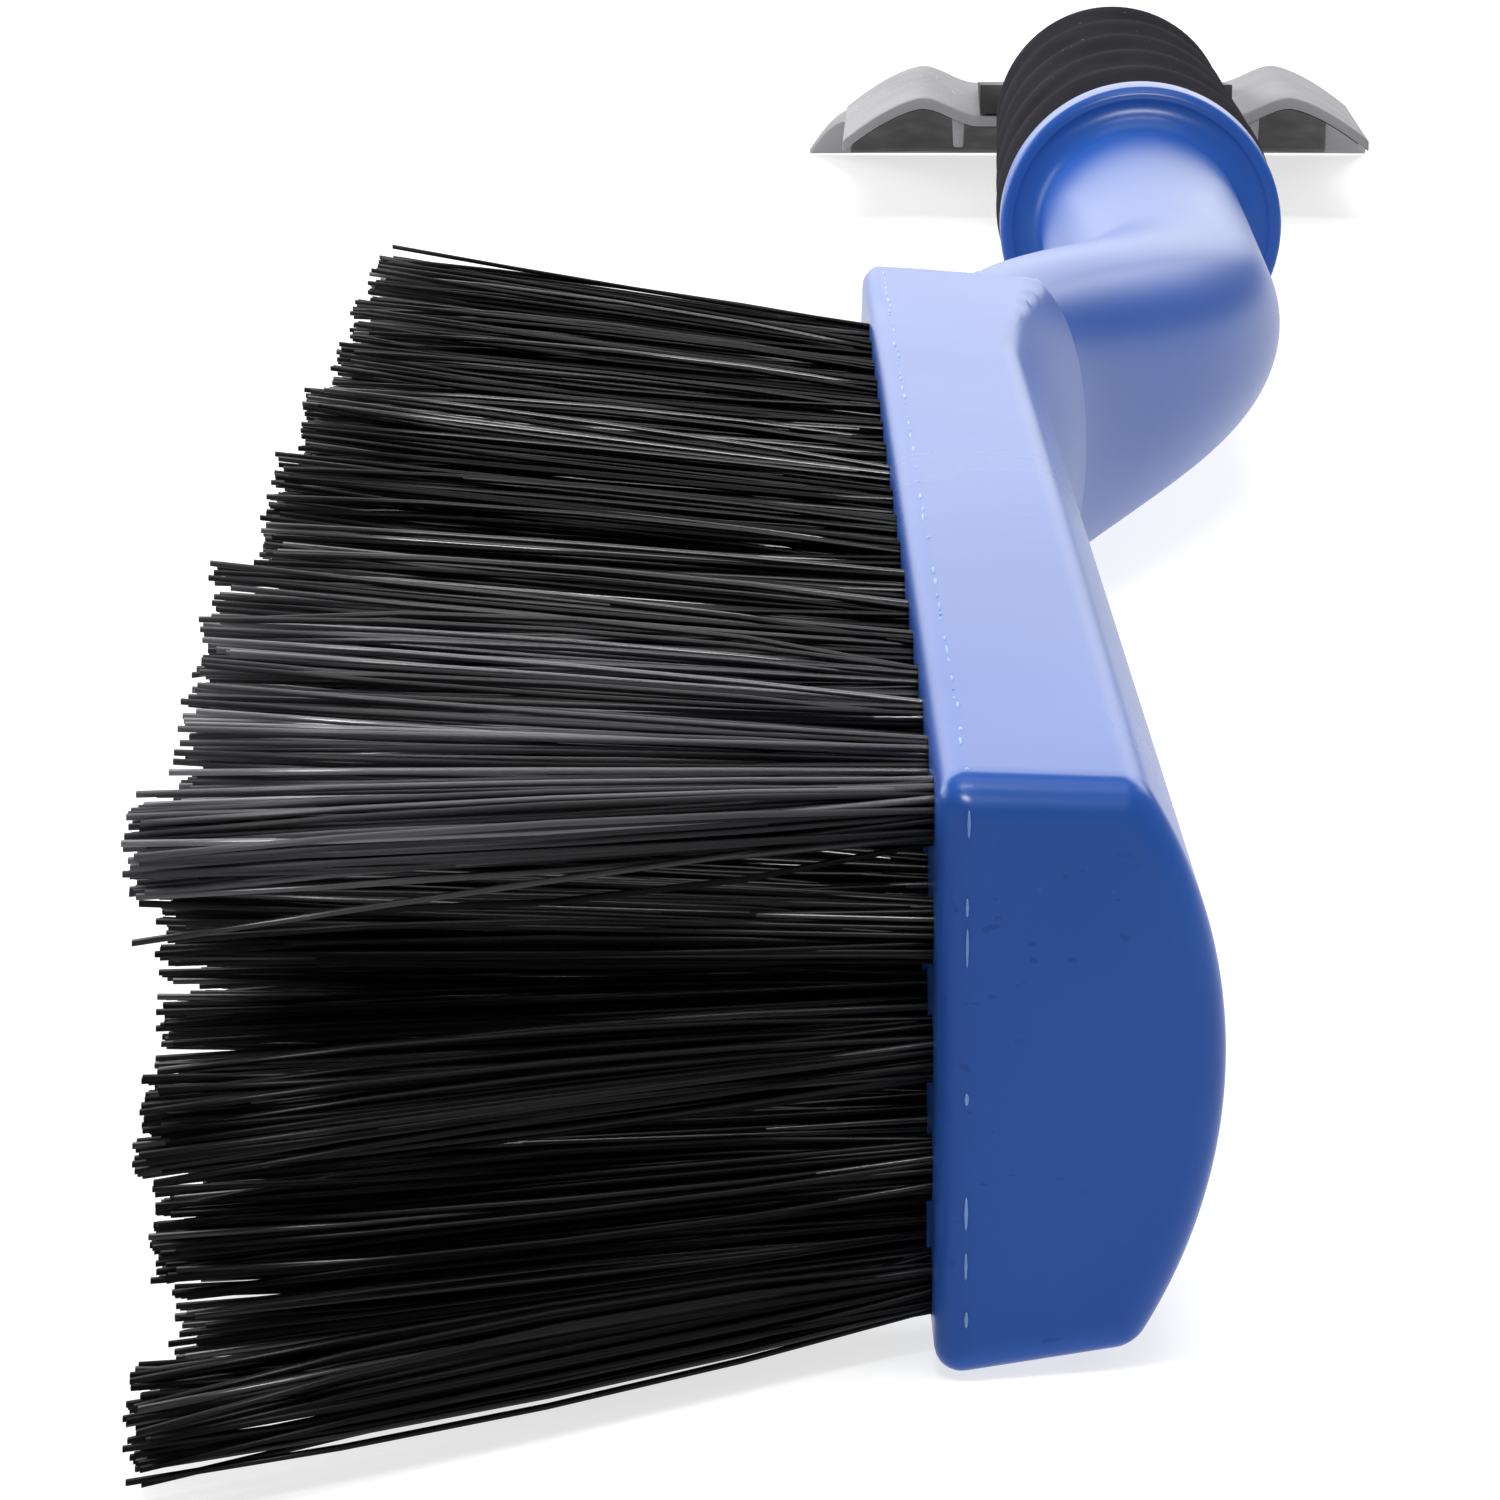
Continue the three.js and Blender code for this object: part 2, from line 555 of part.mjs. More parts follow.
// The blade's top, measured from the handle's axis, at a share of its length and a distance across it.
function bladeTop(along, across) {
  const distance = Math.abs(across);
  const flat = TONGUE_WIDTH / 2 + FIT_GAP;
  const outward = (distance - BLADE_CREST_AT) / (bladeHalfWidth(along) - BLADE_CREST_AT);
  const climb = smooth((distance - flat) / (BLADE_CREST_AT - flat));
  const inner = mix(-BLADE_MIDDLE_DROP, BLADE_CREST_RISE, climb);
  const outer = mix(BLADE_CREST_RISE, -BLADE_TIP_DROP, Math.max(0, outward) ** BLADE_WING_POWER);
  const back = distance < BLADE_CREST_AT ? inner : outer;
  const edge = BLADE_EDGE_THICKNESS - BLADE_EDGE_DROP;
  const fall = Math.max(0, (along - BLADE_BEND) / (1 - BLADE_BEND)) ** BLADE_FALL_POWER;
  const step = along > BLADE_BEND ? BLADE_STEP * (1 - fall) : 0;
  return mix(back, edge, fall) - step;
}

function bladeThickness(along) {
  return mix(BLADE_THICKNESS, BLADE_EDGE_THICKNESS, smooth((along - BLADE_BEND) / (1 - BLADE_BEND)));
}

// The lengthwise stations of the blade, with a steep ledge where it starts to fall.
function bladeStations() {
  const stations = [];
  for (let i = 0; i <= BLADE_ROWS; i++) {
    stations.push((BLADE_BEND * i) / BLADE_ROWS);
  }
  for (let i = 0; i <= BLADE_ROWS; i++) {
    stations.push(mix(BLADE_BEND + BLADE_STEP_RUN, 1, i / BLADE_ROWS));
  }
  return stations;
}

function bladeShell() {
  const rings = [];
  for (const along of bladeStations()) {
    const top = [];
    const bottom = [];
    for (let i = 0; i <= BLADE_COLUMNS; i++) {
      const across = mix(-1, 1, i / BLADE_COLUMNS) * bladeHalfWidth(along);
      const y = bladeBack + along * BLADE_LENGTH;
      const z = bladeTop(along, across);
      top.push(new THREE.Vector3(across, y, z));
      bottom.unshift(new THREE.Vector3(across, y, z - bladeThickness(along)));
    }
    rings.push([...top, ...bottom]);
  }
  return loft(rings);
}

// A stiffening rib under the blade, its top sunk into the shell.
function bladeRib(side) {
  const across = side * BLADE_RIB_AT;
  const top = [];
  const bottom = [];
  for (let i = 0; i <= RIB_ROWS; i++) {
    const share = i / RIB_ROWS;
    const along = share * (BLADE_RIB_LENGTH / BLADE_LENGTH);
    const y = bladeBack + FIT_GAP + along * BLADE_LENGTH;
    const underside = bladeTop(along, across) - bladeThickness(along);
    const depth = BLADE_RIB_DEPTH * (1 - BLADE_RIB_TAPER * share ** 2);
    top.push([y, underside + BLADE_RIB_ROOT * bladeThickness(along)]);
    bottom.unshift([y, underside - depth]);
  }
  return slab([...top, ...bottom], BLADE_RIB_WIDTH).translate(across, 0, 0);
}

function scraperBlade() {
  let body = solidOf(bladeShell());
  for (const side of [-1, 1]) {
    body = body.add(solidOf(bladeRib(side)));
  }
  return geometryOf(withRivetHoles(body));
}

// ---- Fasteners, in the handle's frame ----

// A rivet along Z: a flat head in its seat above, a closed head under the lip.
function bladeRivet(x) {
  const headBottom = rivetSeat + FIT_GAP;
  const tailTop = lipBottom - FIT_GAP;
  const geometry = turned([
    [0, tailTop - RIVET_HEAD_HEIGHT],
    [RIVET_TAIL_RADIUS - RIVET_TAIL_CROWN, tailTop - RIVET_HEAD_HEIGHT],
    [RIVET_TAIL_RADIUS, tailTop - RIVET_HEAD_HEIGHT / 2],
    [RIVET_TAIL_RADIUS, tailTop],
    [RIVET_RADIUS, tailTop],
    [RIVET_RADIUS, headBottom],
    [RIVET_HEAD_RADIUS, headBottom],
    [RIVET_HEAD_RADIUS, headBottom + RIVET_HEAD_HEIGHT / 2],
    [RIVET_HEAD_RADIUS - RIVET_HEAD_CROWN, headBottom + RIVET_HEAD_HEIGHT],
    [0, headBottom + RIVET_HEAD_HEIGHT],
  ], SMALL_SIDES);
  return geometry.rotateX(Math.PI / 2).translate(x, rivetAt, 0);
}

function socketPin() {
  const half = TUBE_RADIUS - SOCKET_PIN_INSET;
  return rod("x", SOCKET_PIN_RADIUS, -half, half).translate(0, tubeEnd - SOCKET_PLUG_LENGTH / 2, 0);
}

// A screw from below that holds the core tube in the shank.
function shankScrew() {
  const headTop = -SHANK_RADIUS - FIT_GAP;
  const geometry = turned([
    [0, headTop - SCREW_HEAD_HEIGHT],
    [SCREW_HEAD_RADIUS - SCREW_HEAD_CROWN, headTop - SCREW_HEAD_HEIGHT],
    [SCREW_HEAD_RADIUS, headTop - SCREW_HEAD_HEIGHT / 2],
    [SCREW_HEAD_RADIUS, headTop],
    [SCREW_RADIUS, headTop],
    [SCREW_RADIUS, SCREW_REACH - TUBE_RADIUS],
    [0, SCREW_REACH - TUBE_RADIUS + SCREW_RADIUS],
  ], SMALL_SIDES);
  return geometry.rotateX(Math.PI / 2).translate(0, screwAt, 0);
}

// ---- Assembly ----

function piece(name, geometry, material) {
  const mesh = new THREE.Mesh(geometry, material);
  mesh.name = name;
  return mesh;
}

const handle = new THREE.Group();
handle.applyMatrix4(handleFrame);
handle.add(piece("core_tube", coreTube(), steel));
handle.add(piece("shank_screw", shankScrew(), steel));
handle.add(piece("grip_sleeve", gripSleeve(), gripRubber));
handle.add(piece("scraper_socket", scraperSocket(), socketPlastic));
handle.add(piece("socket_pin", socketPin(), steel));
handle.add(piece("scraper_blade", scraperBlade(), bladePlastic));
handle.add(piece("blade_rivet_left", bladeRivet(-RIVET_SPACING / 2), steel));
handle.add(piece("blade_rivet_right", bladeRivet(RIVET_SPACING / 2), steel));

const brush = new THREE.Group();
brush.add(piece("brush_head", brushHead(), bluePlastic));
for (const clump of clumps()) {
  brush.add(piece(clump.name, tuftClump(clump), bristleNylon));
}
brush.add(handle);

// The origin is on the ground, in the middle of the brush's outline.
const bounds = new THREE.Box3().setFromObject(brush, true);
const middle = bounds.getCenter(new THREE.Vector3());
brush.position.set(-middle.x, -middle.y, -bounds.min.z);

export default brush;
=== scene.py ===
# The looks of a snow brush with an ice scraper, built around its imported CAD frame. Metres, +Z up.
# Lengths in the constants are millimetres; MM turns them into metres.
import math

import bmesh
import bpy
import numpy as np
from mathutils import Matrix, Vector


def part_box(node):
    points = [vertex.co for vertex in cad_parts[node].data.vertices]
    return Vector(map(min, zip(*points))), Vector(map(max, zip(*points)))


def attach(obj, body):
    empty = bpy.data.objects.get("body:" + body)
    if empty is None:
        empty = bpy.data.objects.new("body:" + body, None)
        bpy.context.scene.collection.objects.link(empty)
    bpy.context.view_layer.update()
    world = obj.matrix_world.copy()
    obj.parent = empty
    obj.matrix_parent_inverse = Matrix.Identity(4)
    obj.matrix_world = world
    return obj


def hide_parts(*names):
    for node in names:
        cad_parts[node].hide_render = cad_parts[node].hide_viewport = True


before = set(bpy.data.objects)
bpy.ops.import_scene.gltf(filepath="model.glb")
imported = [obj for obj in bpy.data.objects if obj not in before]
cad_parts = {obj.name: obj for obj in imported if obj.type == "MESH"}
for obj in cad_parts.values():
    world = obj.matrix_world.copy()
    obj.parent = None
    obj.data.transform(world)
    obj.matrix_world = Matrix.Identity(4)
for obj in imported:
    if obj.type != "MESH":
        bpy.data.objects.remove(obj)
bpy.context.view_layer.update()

MM = 0.001
rng = np.random.default_rng(20)

# ---- Sizes repeated from the CAD, in millimetres ----
HEAD_LENGTH = 206.0
HEAD_WIDTH = 38.0
HEAD_DEPTH = 18.0
HEAD_SIDE_DEPTH = 12.5
HEAD_SIDE_DRAFT = 0.9
HEAD_CORNER = 2.0
HEAD_EDGE_ROUND = 1.3
HEAD_END_LEAN = 0.2
HANDLE_OFFSET = 33.8
HANDLE_LEAN = 0.033
NECK_OVERLAP = 28.0
NECK_LENGTH = 85.0
NECK_ROOT_HEIGHT = 15.5
NECK_HEIGHT = 16.0
NECK_LIFT = 1.6
NECK_INSET = 4.5
NECK_EMBED = 1.0
NECK_SWELL_SHARE = 0.25
NECK_SQUARENESS = 0.4
TUBE_RADIUS = 10.75
SHANK_RADIUS = 12.8
COLLAR_START = 158.0
COLLAR_RADIUS = 18.0
COLLAR_THICKNESS = 8.0
COLLAR_ROUND = 1.2
GRIP_LENGTH = 106.0
GRIP_RADIUS_FRONT = 18.4
GRIP_TAPER = 1.4
GRIP_SWELL = 0.55
GRIP_SWELLS = 4.5
GRIP_ROUND = 2.2
FIT_GAP = 0.3
TUFT_ROWS = 5
TUFT_COLUMNS = 18
TUFT_HOLE = 4.4
TUFT_HOLE_DEPTH = 9.5
TUFT_LENGTH = 46.8
TUFT_MARGIN = 3.8
TUFT_NEAR_MARGIN = 3.0
TUFT_FAR_MARGIN = 20.0
TUFT_FAR_SPLAY = 22.0
TUFT_NEAR_SPLAYS = (22.0, 12.0, 17.0, 5.0, 20.0)
TUFT_LIFT = 3.6

# The head's frame: its near end, bristle face and lower side meet at the origin.
head_low, head_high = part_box("brush_head")
HEAD_ORIGIN = Vector((head_low.x, head_low.y, head_low.z))


def mix(a, b, t):
    return a + (b - a) * t


def smooth(t):
    c = np.clip(t, 0.0, 1.0)
    return c * c * (3.0 - 2.0 * c)


def handle_point(x, y, z):
    """A point of the handle's frame (millimetres) in the head's frame."""
    c, s = math.cos(HANDLE_LEAN), math.sin(HANDLE_LEAN)
    return np.stack([x * c + y * s + HANDLE_OFFSET, y * c - x * s + HEAD_LENGTH, z + HEAD_WIDTH / 2], -1)


def placed(points):
    """Head-frame millimetres as metres in the row frame."""
    return np.asarray(points) * MM + np.array(HEAD_ORIGIN)


def mesh_object(name, verts, faces, smooth_shading=True):
    mesh = bpy.data.meshes.new(name)
    mesh.from_pydata([tuple(v) for v in verts], [], faces)
    mesh.validate()
    mesh.polygons.foreach_set("use_smooth", [smooth_shading] * len(mesh.polygons))
    made = bpy.data.objects.new(name, mesh)
    bpy.context.collection.objects.link(made)
    return made


def outward(obj):
    """Turns the faces of a closed mesh outwards."""
    work = bmesh.new()
    work.from_mesh(obj.data)
    bmesh.ops.recalc_face_normals(work, faces=work.faces)
    work.to_mesh(obj.data)
    work.free()
    return obj


def ring_faces(rings, count, caps=True):
    faces = []
    for r in range(rings - 1):
        for i in range(count):
            a, b = r * count + i, r * count + (i + 1) % count
            faces.append((a, b, b + count, a + count))
    if caps:
        faces.append(tuple(range(count))[::-1])
        last = (rings - 1) * count
        faces.append(tuple(range(last, last + count)))
    return faces


def apply_modifiers(obj):
    graph = bpy.context.evaluated_depsgraph_get()
    mesh = bpy.data.meshes.new_from_object(obj.evaluated_get(graph))
    obj.modifiers.clear()
    obj.data = mesh


def round_edges(obj, size, segments, least_angle):
    """A bevel along every edge that turns by more than an angle in degrees."""
    edge = obj.modifiers.new("edge", "BEVEL")
    edge.width, edge.segments, edge.limit_method = size * MM, segments, "ANGLE"
    edge.angle_limit = math.radians(least_angle)


def shade(obj, sharp_angle):
    """Smooth shading, broken where the surface turns by more than an angle in degrees."""
    obj.data.polygons.foreach_set("use_smooth", [True] * len(obj.data.polygons))
    obj.data.set_sharp_from_angle(angle=math.radians(sharp_angle))


def shifted(faces, base):
    return [tuple(base + i for i in face) for face in faces]


def around_circle(count):
    return np.arange(count) * 2 * math.pi / count


# ---- The moulding: head, neck, shank and collar as one skin through star-shaped sections ----

BACK_EDGE_ROUND = 1.0  # where the head's sides meet its crowned back
NEAR_EDGE_ROUND = 2.5  # round the near end face
FILLET = 8.0  # where the neck leaves the head's back
BLEND_LEAD = 26.0  # how far before the neck's root the head's back starts to swell
END_FILLET = 11.0  # where the neck leaves the head's end face
END_RIM_BLEND = 0.5  # between that fillet and the rim of the head's end face
SHARP = 0.01  # a blend so small that it is an edge
COLLAR_FILLET = 3.4  # where the shank meets the collar's face
COLLAR_RING_RADII = (14.9, 16.5)  # faint rings left in the collar's face by its turning
COLLAR_RING_HEIGHT = 0.06
COLLAR_RING_WIDTH = 0.5
BORE_DEPTH = 20.0
BORE_LEAD = 0.5
EDGE_REACH = 2.6  # half the width of the finer strip over each front edge
BACK_EDGE_REACH = 1.8  # and over each back edge
EDGE_LINES = 15
EVEN_LINES = 132
LEAST_TURN = 0.006  # the smallest angle between two directions
SEARCH_REACH = 60.0  # further out than any section goes
SEARCH_STEPS = 34
ARC_STEPS = 8
END_FACE_SHARES = (0.02, 0.25, 0.5, 0.75, 0.92)  # the rings that fill the near end face
HEAD_RING_STEP = 6.0
RING_GAP = 1.5  # between the last ring of a fillet and the next one
RIM_GAP = 0.4
BLEND_RINGS = 56
END_FILLET_RINGS = 14
END_FILLET_START = 0.04
NECK_RINGS = 52
NECK_CENTRE_REACH = 0.6  # how far across the neck its sections' centre may lie
SHANK_RINGS = 12
SHANK_MARGINS = (3.0, 1.0)
COLLAR_FACE_RINGS = 24
COLLAR_FACE_MARGIN = 0.1

def side_distance(px, pz):
    """Distance outside the planes of the head's drafted upper and lower sides."""
    slope = HEAD_SIDE_DRAFT / (HEAD_SIDE_DEPTH - HEAD_CORNER)
    up = np.abs(pz - HEAD_WIDTH / 2)
    return (up - HEAD_WIDTH / 2 + (px - HEAD_CORNER) * slope) / math.hypot(1.0, slope)


def rounded(a, b, radius):
    """Distance outside what two outlines share, with the corner between them rounded."""
    qa, qb = a + radius, b + radius
    return np.hypot(np.maximum(qa, 0), np.maximum(qb, 0)) + np.minimum(np.maximum(qa, qb), 0) - radius


def head_distance(px, pz, inset):
    """Distance outside the head's D section."""
    half = HEAD_WIDTH / 2
    rise = HEAD_DEPTH - HEAD_SIDE_DEPTH
    side = half - HEAD_SIDE_DRAFT
    dome = (side * side + rise * rise) / (2 * rise)
    up = np.abs(pz - half)
    flat = side_distance(px, pz)
    round_back = np.hypot(px - (HEAD_DEPTH - dome), up) - dome
    return rounded(round_back, rounded(-px, flat, HEAD_CORNER), BACK_EDGE_ROUND) + inset


def neck_section(y):
    """Centre x, centre z, half width, half height and squareness of the neck at y past the head's end."""
    t = (y + NECK_OVERLAP) / (NECK_LENGTH + NECK_OVERLAP)
    narrowing = smooth(y / NECK_LENGTH)
    outer = mix(HEAD_DEPTH - HANDLE_OFFSET - NECK_EMBED, SHANK_RADIUS, smooth(t))
    inner = mix(NECK_INSET - HANDLE_OFFSET, -SHANK_RADIUS, narrowing)
    rising = mix(NECK_ROOT_HEIGHT, NECK_HEIGHT, smooth(t / NECK_SWELL_SHARE))
    height = mix(rising, SHANK_RADIUS, narrowing)
    lift, square = mix(NECK_LIFT, 0.0, narrowing), mix(NECK_SQUARENESS, 0.0, narrowing)
    return (outer + inner) / 2, lift, (outer - inner) / 2, height, square


def neck_distance(px, pz, y):
    """Rough distance outside the neck's section, for a point of the head's frame."""
    cx, cz, half_x, half_z, square = neck_section(y - HEAD_LENGTH)
    cx = cx + HANDLE_OFFSET + (y - HEAD_LENGTH) * HANDLE_LEAN
    cz = cz + HEAD_WIDTH / 2
    power = 2.0 + square
    u, v = np.abs(px - cx) / half_x, np.abs(pz - cz) / half_z
    k = (u ** power + v ** power) ** (1.0 / power)
    return (k - 1.0) * min(half_x, half_z)


def soft_union(a, b, size):
    h = np.clip(0.5 + 0.5 * (b - a) / size, 0.0, 1.0)
    return mix(b, a, h) - size * h * (1.0 - h)


def section(distance, centre, angles):
    """The outline of a star-shaped section: its radius in each direction, by bisection."""
    low, high = np.zeros_like(angles), np.full_like(angles, SEARCH_REACH)
    ca, sa = np.cos(angles), np.sin(angles)
    for _ in range(SEARCH_STEPS):
        middle = (low + high) / 2
        outside = distance(centre[0] + ca * middle, centre[1] + sa * middle) > 0
        high = np.where(outside, middle, high)
        low = np.where(outside, low, middle)
    return np.stack([centre[0] + ca * low, centre[1] + sa * low], -1)


def section_angles(centre):
    """Directions from the section's centre, closer together at the D section's four edges."""
    edges = (
        (0.0, 0.0, EDGE_REACH),
        (0.0, HEAD_WIDTH, EDGE_REACH),
        (HEAD_SIDE_DEPTH, HEAD_SIDE_DRAFT, BACK_EDGE_REACH),
        (HEAD_SIDE_DEPTH, HEAD_WIDTH - HEAD_SIDE_DRAFT, BACK_EDGE_REACH),
    )
    spots = []
    for x, z, wide in edges:
        reach = math.hypot(x - centre[0], z - centre[1])
        middle = math.atan2(z - centre[1], x - centre[0])
        spots.extend(middle + np.linspace(-1, 1, EDGE_LINES) * wide / reach)
    even = np.linspace(-math.pi, math.pi, EVEN_LINES, endpoint=False)
    every = np.sort(np.mod(np.concatenate([even, spots]) + math.pi, 2 * math.pi) - math.pi)
    keep = [every[0]]
    for a in every[1:]:
        if a - keep[-1] > LEAST_TURN:
            keep.append(a)
    return np.array(keep)


def quarter(size):
    """A quarter round: how far each of its points is drawn in, and how far it has run on."""
    turns = np.linspace(0.0, math.pi / 2, ARC_STEPS + 1)
    return [(size * (1 - math.sin(a)), size * (1 - math.cos(a))) for a in turns]


def head_ring(y, inset, centre, angles):
    """A section across the head, where its back grows into the neck."""
    past = y - (HEAD_LENGTH - NECK_OVERLAP - BLEND_LEAD)

    def outside(px, pz):
        block = head_distance(px, pz, inset)
        if past < 0:
            return block
        fillet = FILLET * smooth(past / (NECK_OVERLAP + BLEND_LEAD)) + SHARP
        joined = soft_union(block, neck_distance(px, pz, y), fillet)
        return np.maximum(joined, side_distance(px, pz))

    flat = section(outside, centre, angles)
    lean = HEAD_END_LEAN * flat[:, 0] * (1.0 - y / HEAD_LENGTH)
    return np.stack([flat[:, 0], y + lean, flat[:, 1]], -1)


def neck_ring(past, centre, angles):
    """A section across the neck, flared where it meets the head's end face."""
    y = HEAD_LENGTH + past
    cx, _, half_x, _, _ = neck_section(past)
    axis = HANDLE_OFFSET + past * HANDLE_LEAN
    middle_x = mix(centre[0], axis, smooth(past / NECK_LENGTH))
    c = np.array([max(middle_x, cx + axis - half_x * NECK_CENTRE_REACH), HEAD_WIDTH / 2])
    flat = section(lambda px, pz: neck_distance(px, pz, y), c, angles)
    if past < END_FILLET:
        flare = END_FILLET - math.sqrt(END_FILLET ** 2 - (END_FILLET - past) ** 2)
        wide = section(lambda px, pz: neck_distance(px, pz, y) - flare, c, angles)
        room = section(lambda px, pz: soft_union(
            head_distance(px, pz, HEAD_EDGE_ROUND), neck_distance(px, pz, y), END_RIM_BLEND), c, angles)
        reach = np.minimum(np.hypot(*(wide - c).T), np.hypot(*(room - c).T))
        flat = c + np.stack([np.cos(angles), np.sin(angles)], -1) * reach[:, None]
    return np.stack([flat[:, 0], np.full(len(flat), y), flat[:, 1]], -1)


def collar_profile():
    """Radius and place along the handle's axis, from the shank over the collar into its bore."""
    back = COLLAR_START + COLLAR_THICKNESS
    bore = TUBE_RADIUS + FIT_GAP
    after, before = SHANK_MARGINS
    shank = np.linspace(NECK_LENGTH + after, COLLAR_START - COLLAR_FILLET - before, SHANK_RINGS)
    profile = [(SHANK_RADIUS, y) for y in shank]
    for draw, run in quarter(COLLAR_FILLET):
        profile.append((SHANK_RADIUS + run, COLLAR_START - draw))
    inner = SHANK_RADIUS + COLLAR_FILLET + COLLAR_FACE_MARGIN
    outer = COLLAR_RADIUS - COLLAR_ROUND - COLLAR_FACE_MARGIN
    for radius in np.linspace(inner, outer, COLLAR_FACE_RINGS):
        ring = sum(math.exp(-((radius - r) / COLLAR_RING_WIDTH * 2) ** 2) for r in COLLAR_RING_RADII)
        profile.append((radius, COLLAR_START - COLLAR_RING_HEIGHT * ring))
    for draw, run in quarter(COLLAR_ROUND):
        profile.append((COLLAR_RADIUS - draw, COLLAR_START + run))
    for draw, run in quarter(COLLAR_ROUND):
        profile.append((COLLAR_RADIUS - run, back - draw))
    profile += [(bore + BORE_LEAD, back), (bore, back - BORE_LEAD), (bore, back - BORE_DEPTH)]
    return profile


def lathe_rings(profile, angles):
    """Rings round the handle's axis, from radii and places along it."""
    return [
        handle_point(radius * np.cos(angles), np.full(len(angles), y), radius * np.sin(angles))
        for radius, y in profile
    ]


def moulding():
    centre = np.array([HEAD_DEPTH / 2, HEAD_WIDTH / 2])
    angles = section_angles(centre)
    rings = []
    rim = quarter(HEAD_EDGE_ROUND)
    near_rim = quarter(NEAR_EDGE_ROUND)
    face = section(lambda px, pz: head_distance(px, pz, NEAR_EDGE_ROUND), centre, angles)
    for share in END_FACE_SHARES:
        flat = centre + (face - centre) * share
        rings.append(np.stack([flat[:, 0], HEAD_END_LEAN * flat[:, 0], flat[:, 1]], -1))
    for inset, y in near_rim:
        rings.append(head_ring(y, inset, centre, angles))
    merge = HEAD_LENGTH - NECK_OVERLAP - BLEND_LEAD - 1.0
    plain = np.arange(NEAR_EDGE_ROUND + RING_GAP, merge, HEAD_RING_STEP)
    swelling = np.linspace(merge, HEAD_LENGTH - HEAD_EDGE_ROUND - RIM_GAP, BLEND_RINGS)
    for y in [*plain, *swelling]:
        rings.append(head_ring(y, 0.0, centre, angles))
    for inset, near in rim[::-1]:
        rings.append(head_ring(HEAD_LENGTH - near, inset, centre, angles))
    close = END_FILLET * np.linspace(END_FILLET_START, 1.0, END_FILLET_RINGS) ** 2
    for past in [*close, *np.linspace(close[-1] + RING_GAP, NECK_LENGTH, NECK_RINGS)]:
        rings.append(neck_ring(past, centre, angles))
    rings += lathe_rings(collar_profile(), angles)
    points = placed(np.concatenate(rings))
    points[:, 2] = np.maximum(points[:, 2], 0.0)
    return outward(mesh_object("head_moulding", points, ring_faces(len(rings), len(angles))))


TUFT_PITCH_Y = (HEAD_LENGTH - TUFT_NEAR_MARGIN - TUFT_FAR_MARGIN) / TUFT_COLUMNS
TUFT_PITCH_Z = (HEAD_WIDTH - 2 * TUFT_MARGIN) / (TUFT_ROWS - 1)
TUFT_HOLE_SIDES = 18
TUFT_HOLE_OVERCUT = 1.0


def tuft_places():
    """Row, column and root of every tuft on the bristle face, in head-frame millimetres."""
    for row in range(TUFT_ROWS):
        for column in range(TUFT_COLUMNS):
            y = TUFT_NEAR_MARGIN + (column + 0.5) * TUFT_PITCH_Y
            z = TUFT_MARGIN + row * TUFT_PITCH_Z
            yield row, column, y, z


def drill_tuft_holes(obj):
    """Real holes for the tufts, by one boolean with all of them."""
    verts, faces = [], []
    for _, _, y, z in tuft_places():
        faces += shifted(ring_faces(2, TUFT_HOLE_SIDES), len(verts))
        for x in (-TUFT_HOLE_OVERCUT, TUFT_HOLE_DEPTH):
            for a in around_circle(TUFT_HOLE_SIDES):
                verts.append((x, y + TUFT_HOLE / 2 * math.cos(a), z + TUFT_HOLE / 2 * math.sin(a)))
    drill = outward(mesh_object("drill", placed(verts), faces, smooth_shading=False))
    cut = obj.modifiers.new("holes", "BOOLEAN")
    cut.operation, cut.object, cut.solver = "DIFFERENCE", drill, "EXACT"
    apply_modifiers(obj)
    bpy.data.objects.remove(drill)


head = moulding()
drill_tuft_holes(head)
head.data.set_sharp_from_angle(angle=math.radians(40))
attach(head, "root")
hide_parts("brush_head")


# ---- Flash: short pale flecks left along the mould's parting line ----

FLECK_FROM_FACE = 1.85
FLECK_SIDES = 6
FLECK_RINGS = (0.12, 0.5, 0.88)
FLECK_HALF_WIDTHS = (0.1, 0.17)
FLECK_SUNK = 0.01
FLECK_SHORTEST = 0.5
# For a line: what stays free at its start and end, the share of places with a fleck, the longest fleck,
# the gaps, and how far flecks stray from the line.
END_LINE = {"margins": (3.5, 3.0), "share": 0.6, "longest": 2.6, "gaps": (0.3, 1.6), "stray": 0.04}
END_FLECK_HEIGHTS = (0.05, 0.12)
SIDE_LINE = {"margins": (3.0, 4.0), "share": 0.65, "longest": 3.0, "gaps": (0.2, 1.8), "stray": 0.05}
SIDE_FLECK_HEIGHTS = (0.04, 0.1)


def fleck(start, end, half_width, height, out):
    """A bead along a line: a slim spindle half sunk into the surface."""
    start, end, out = np.array(start), np.array(end), np.array(out)
    along = (end - start) / np.linalg.norm(end - start)
    across = np.cross(along, out)
    verts = [start]
    for share in FLECK_RINGS:
        for i in range(FLECK_SIDES):
            a = 2 * math.pi * i / FLECK_SIDES
            size = math.sin(math.pi * share) ** 0.5
            verts.append(mix(start, end, share) + size * (
                across * half_width * math.cos(a) + out * height * math.sin(a)))
    verts.append(end)
    n = FLECK_SIDES
    faces = [(0, 1 + (i + 1) % n, 1 + i) for i in range(n)]
    for ring in (0, 1):
        for i in range(n):
            o, j = 1 + ring * n, (i + 1) % n
            faces.append((o + i, o + j, o + n + j, o + n + i))
    o = 1 + 2 * n
    faces += [(o + i, o + (i + 1) % n, len(verts) - 1) for i in range(n)]
    return verts, faces


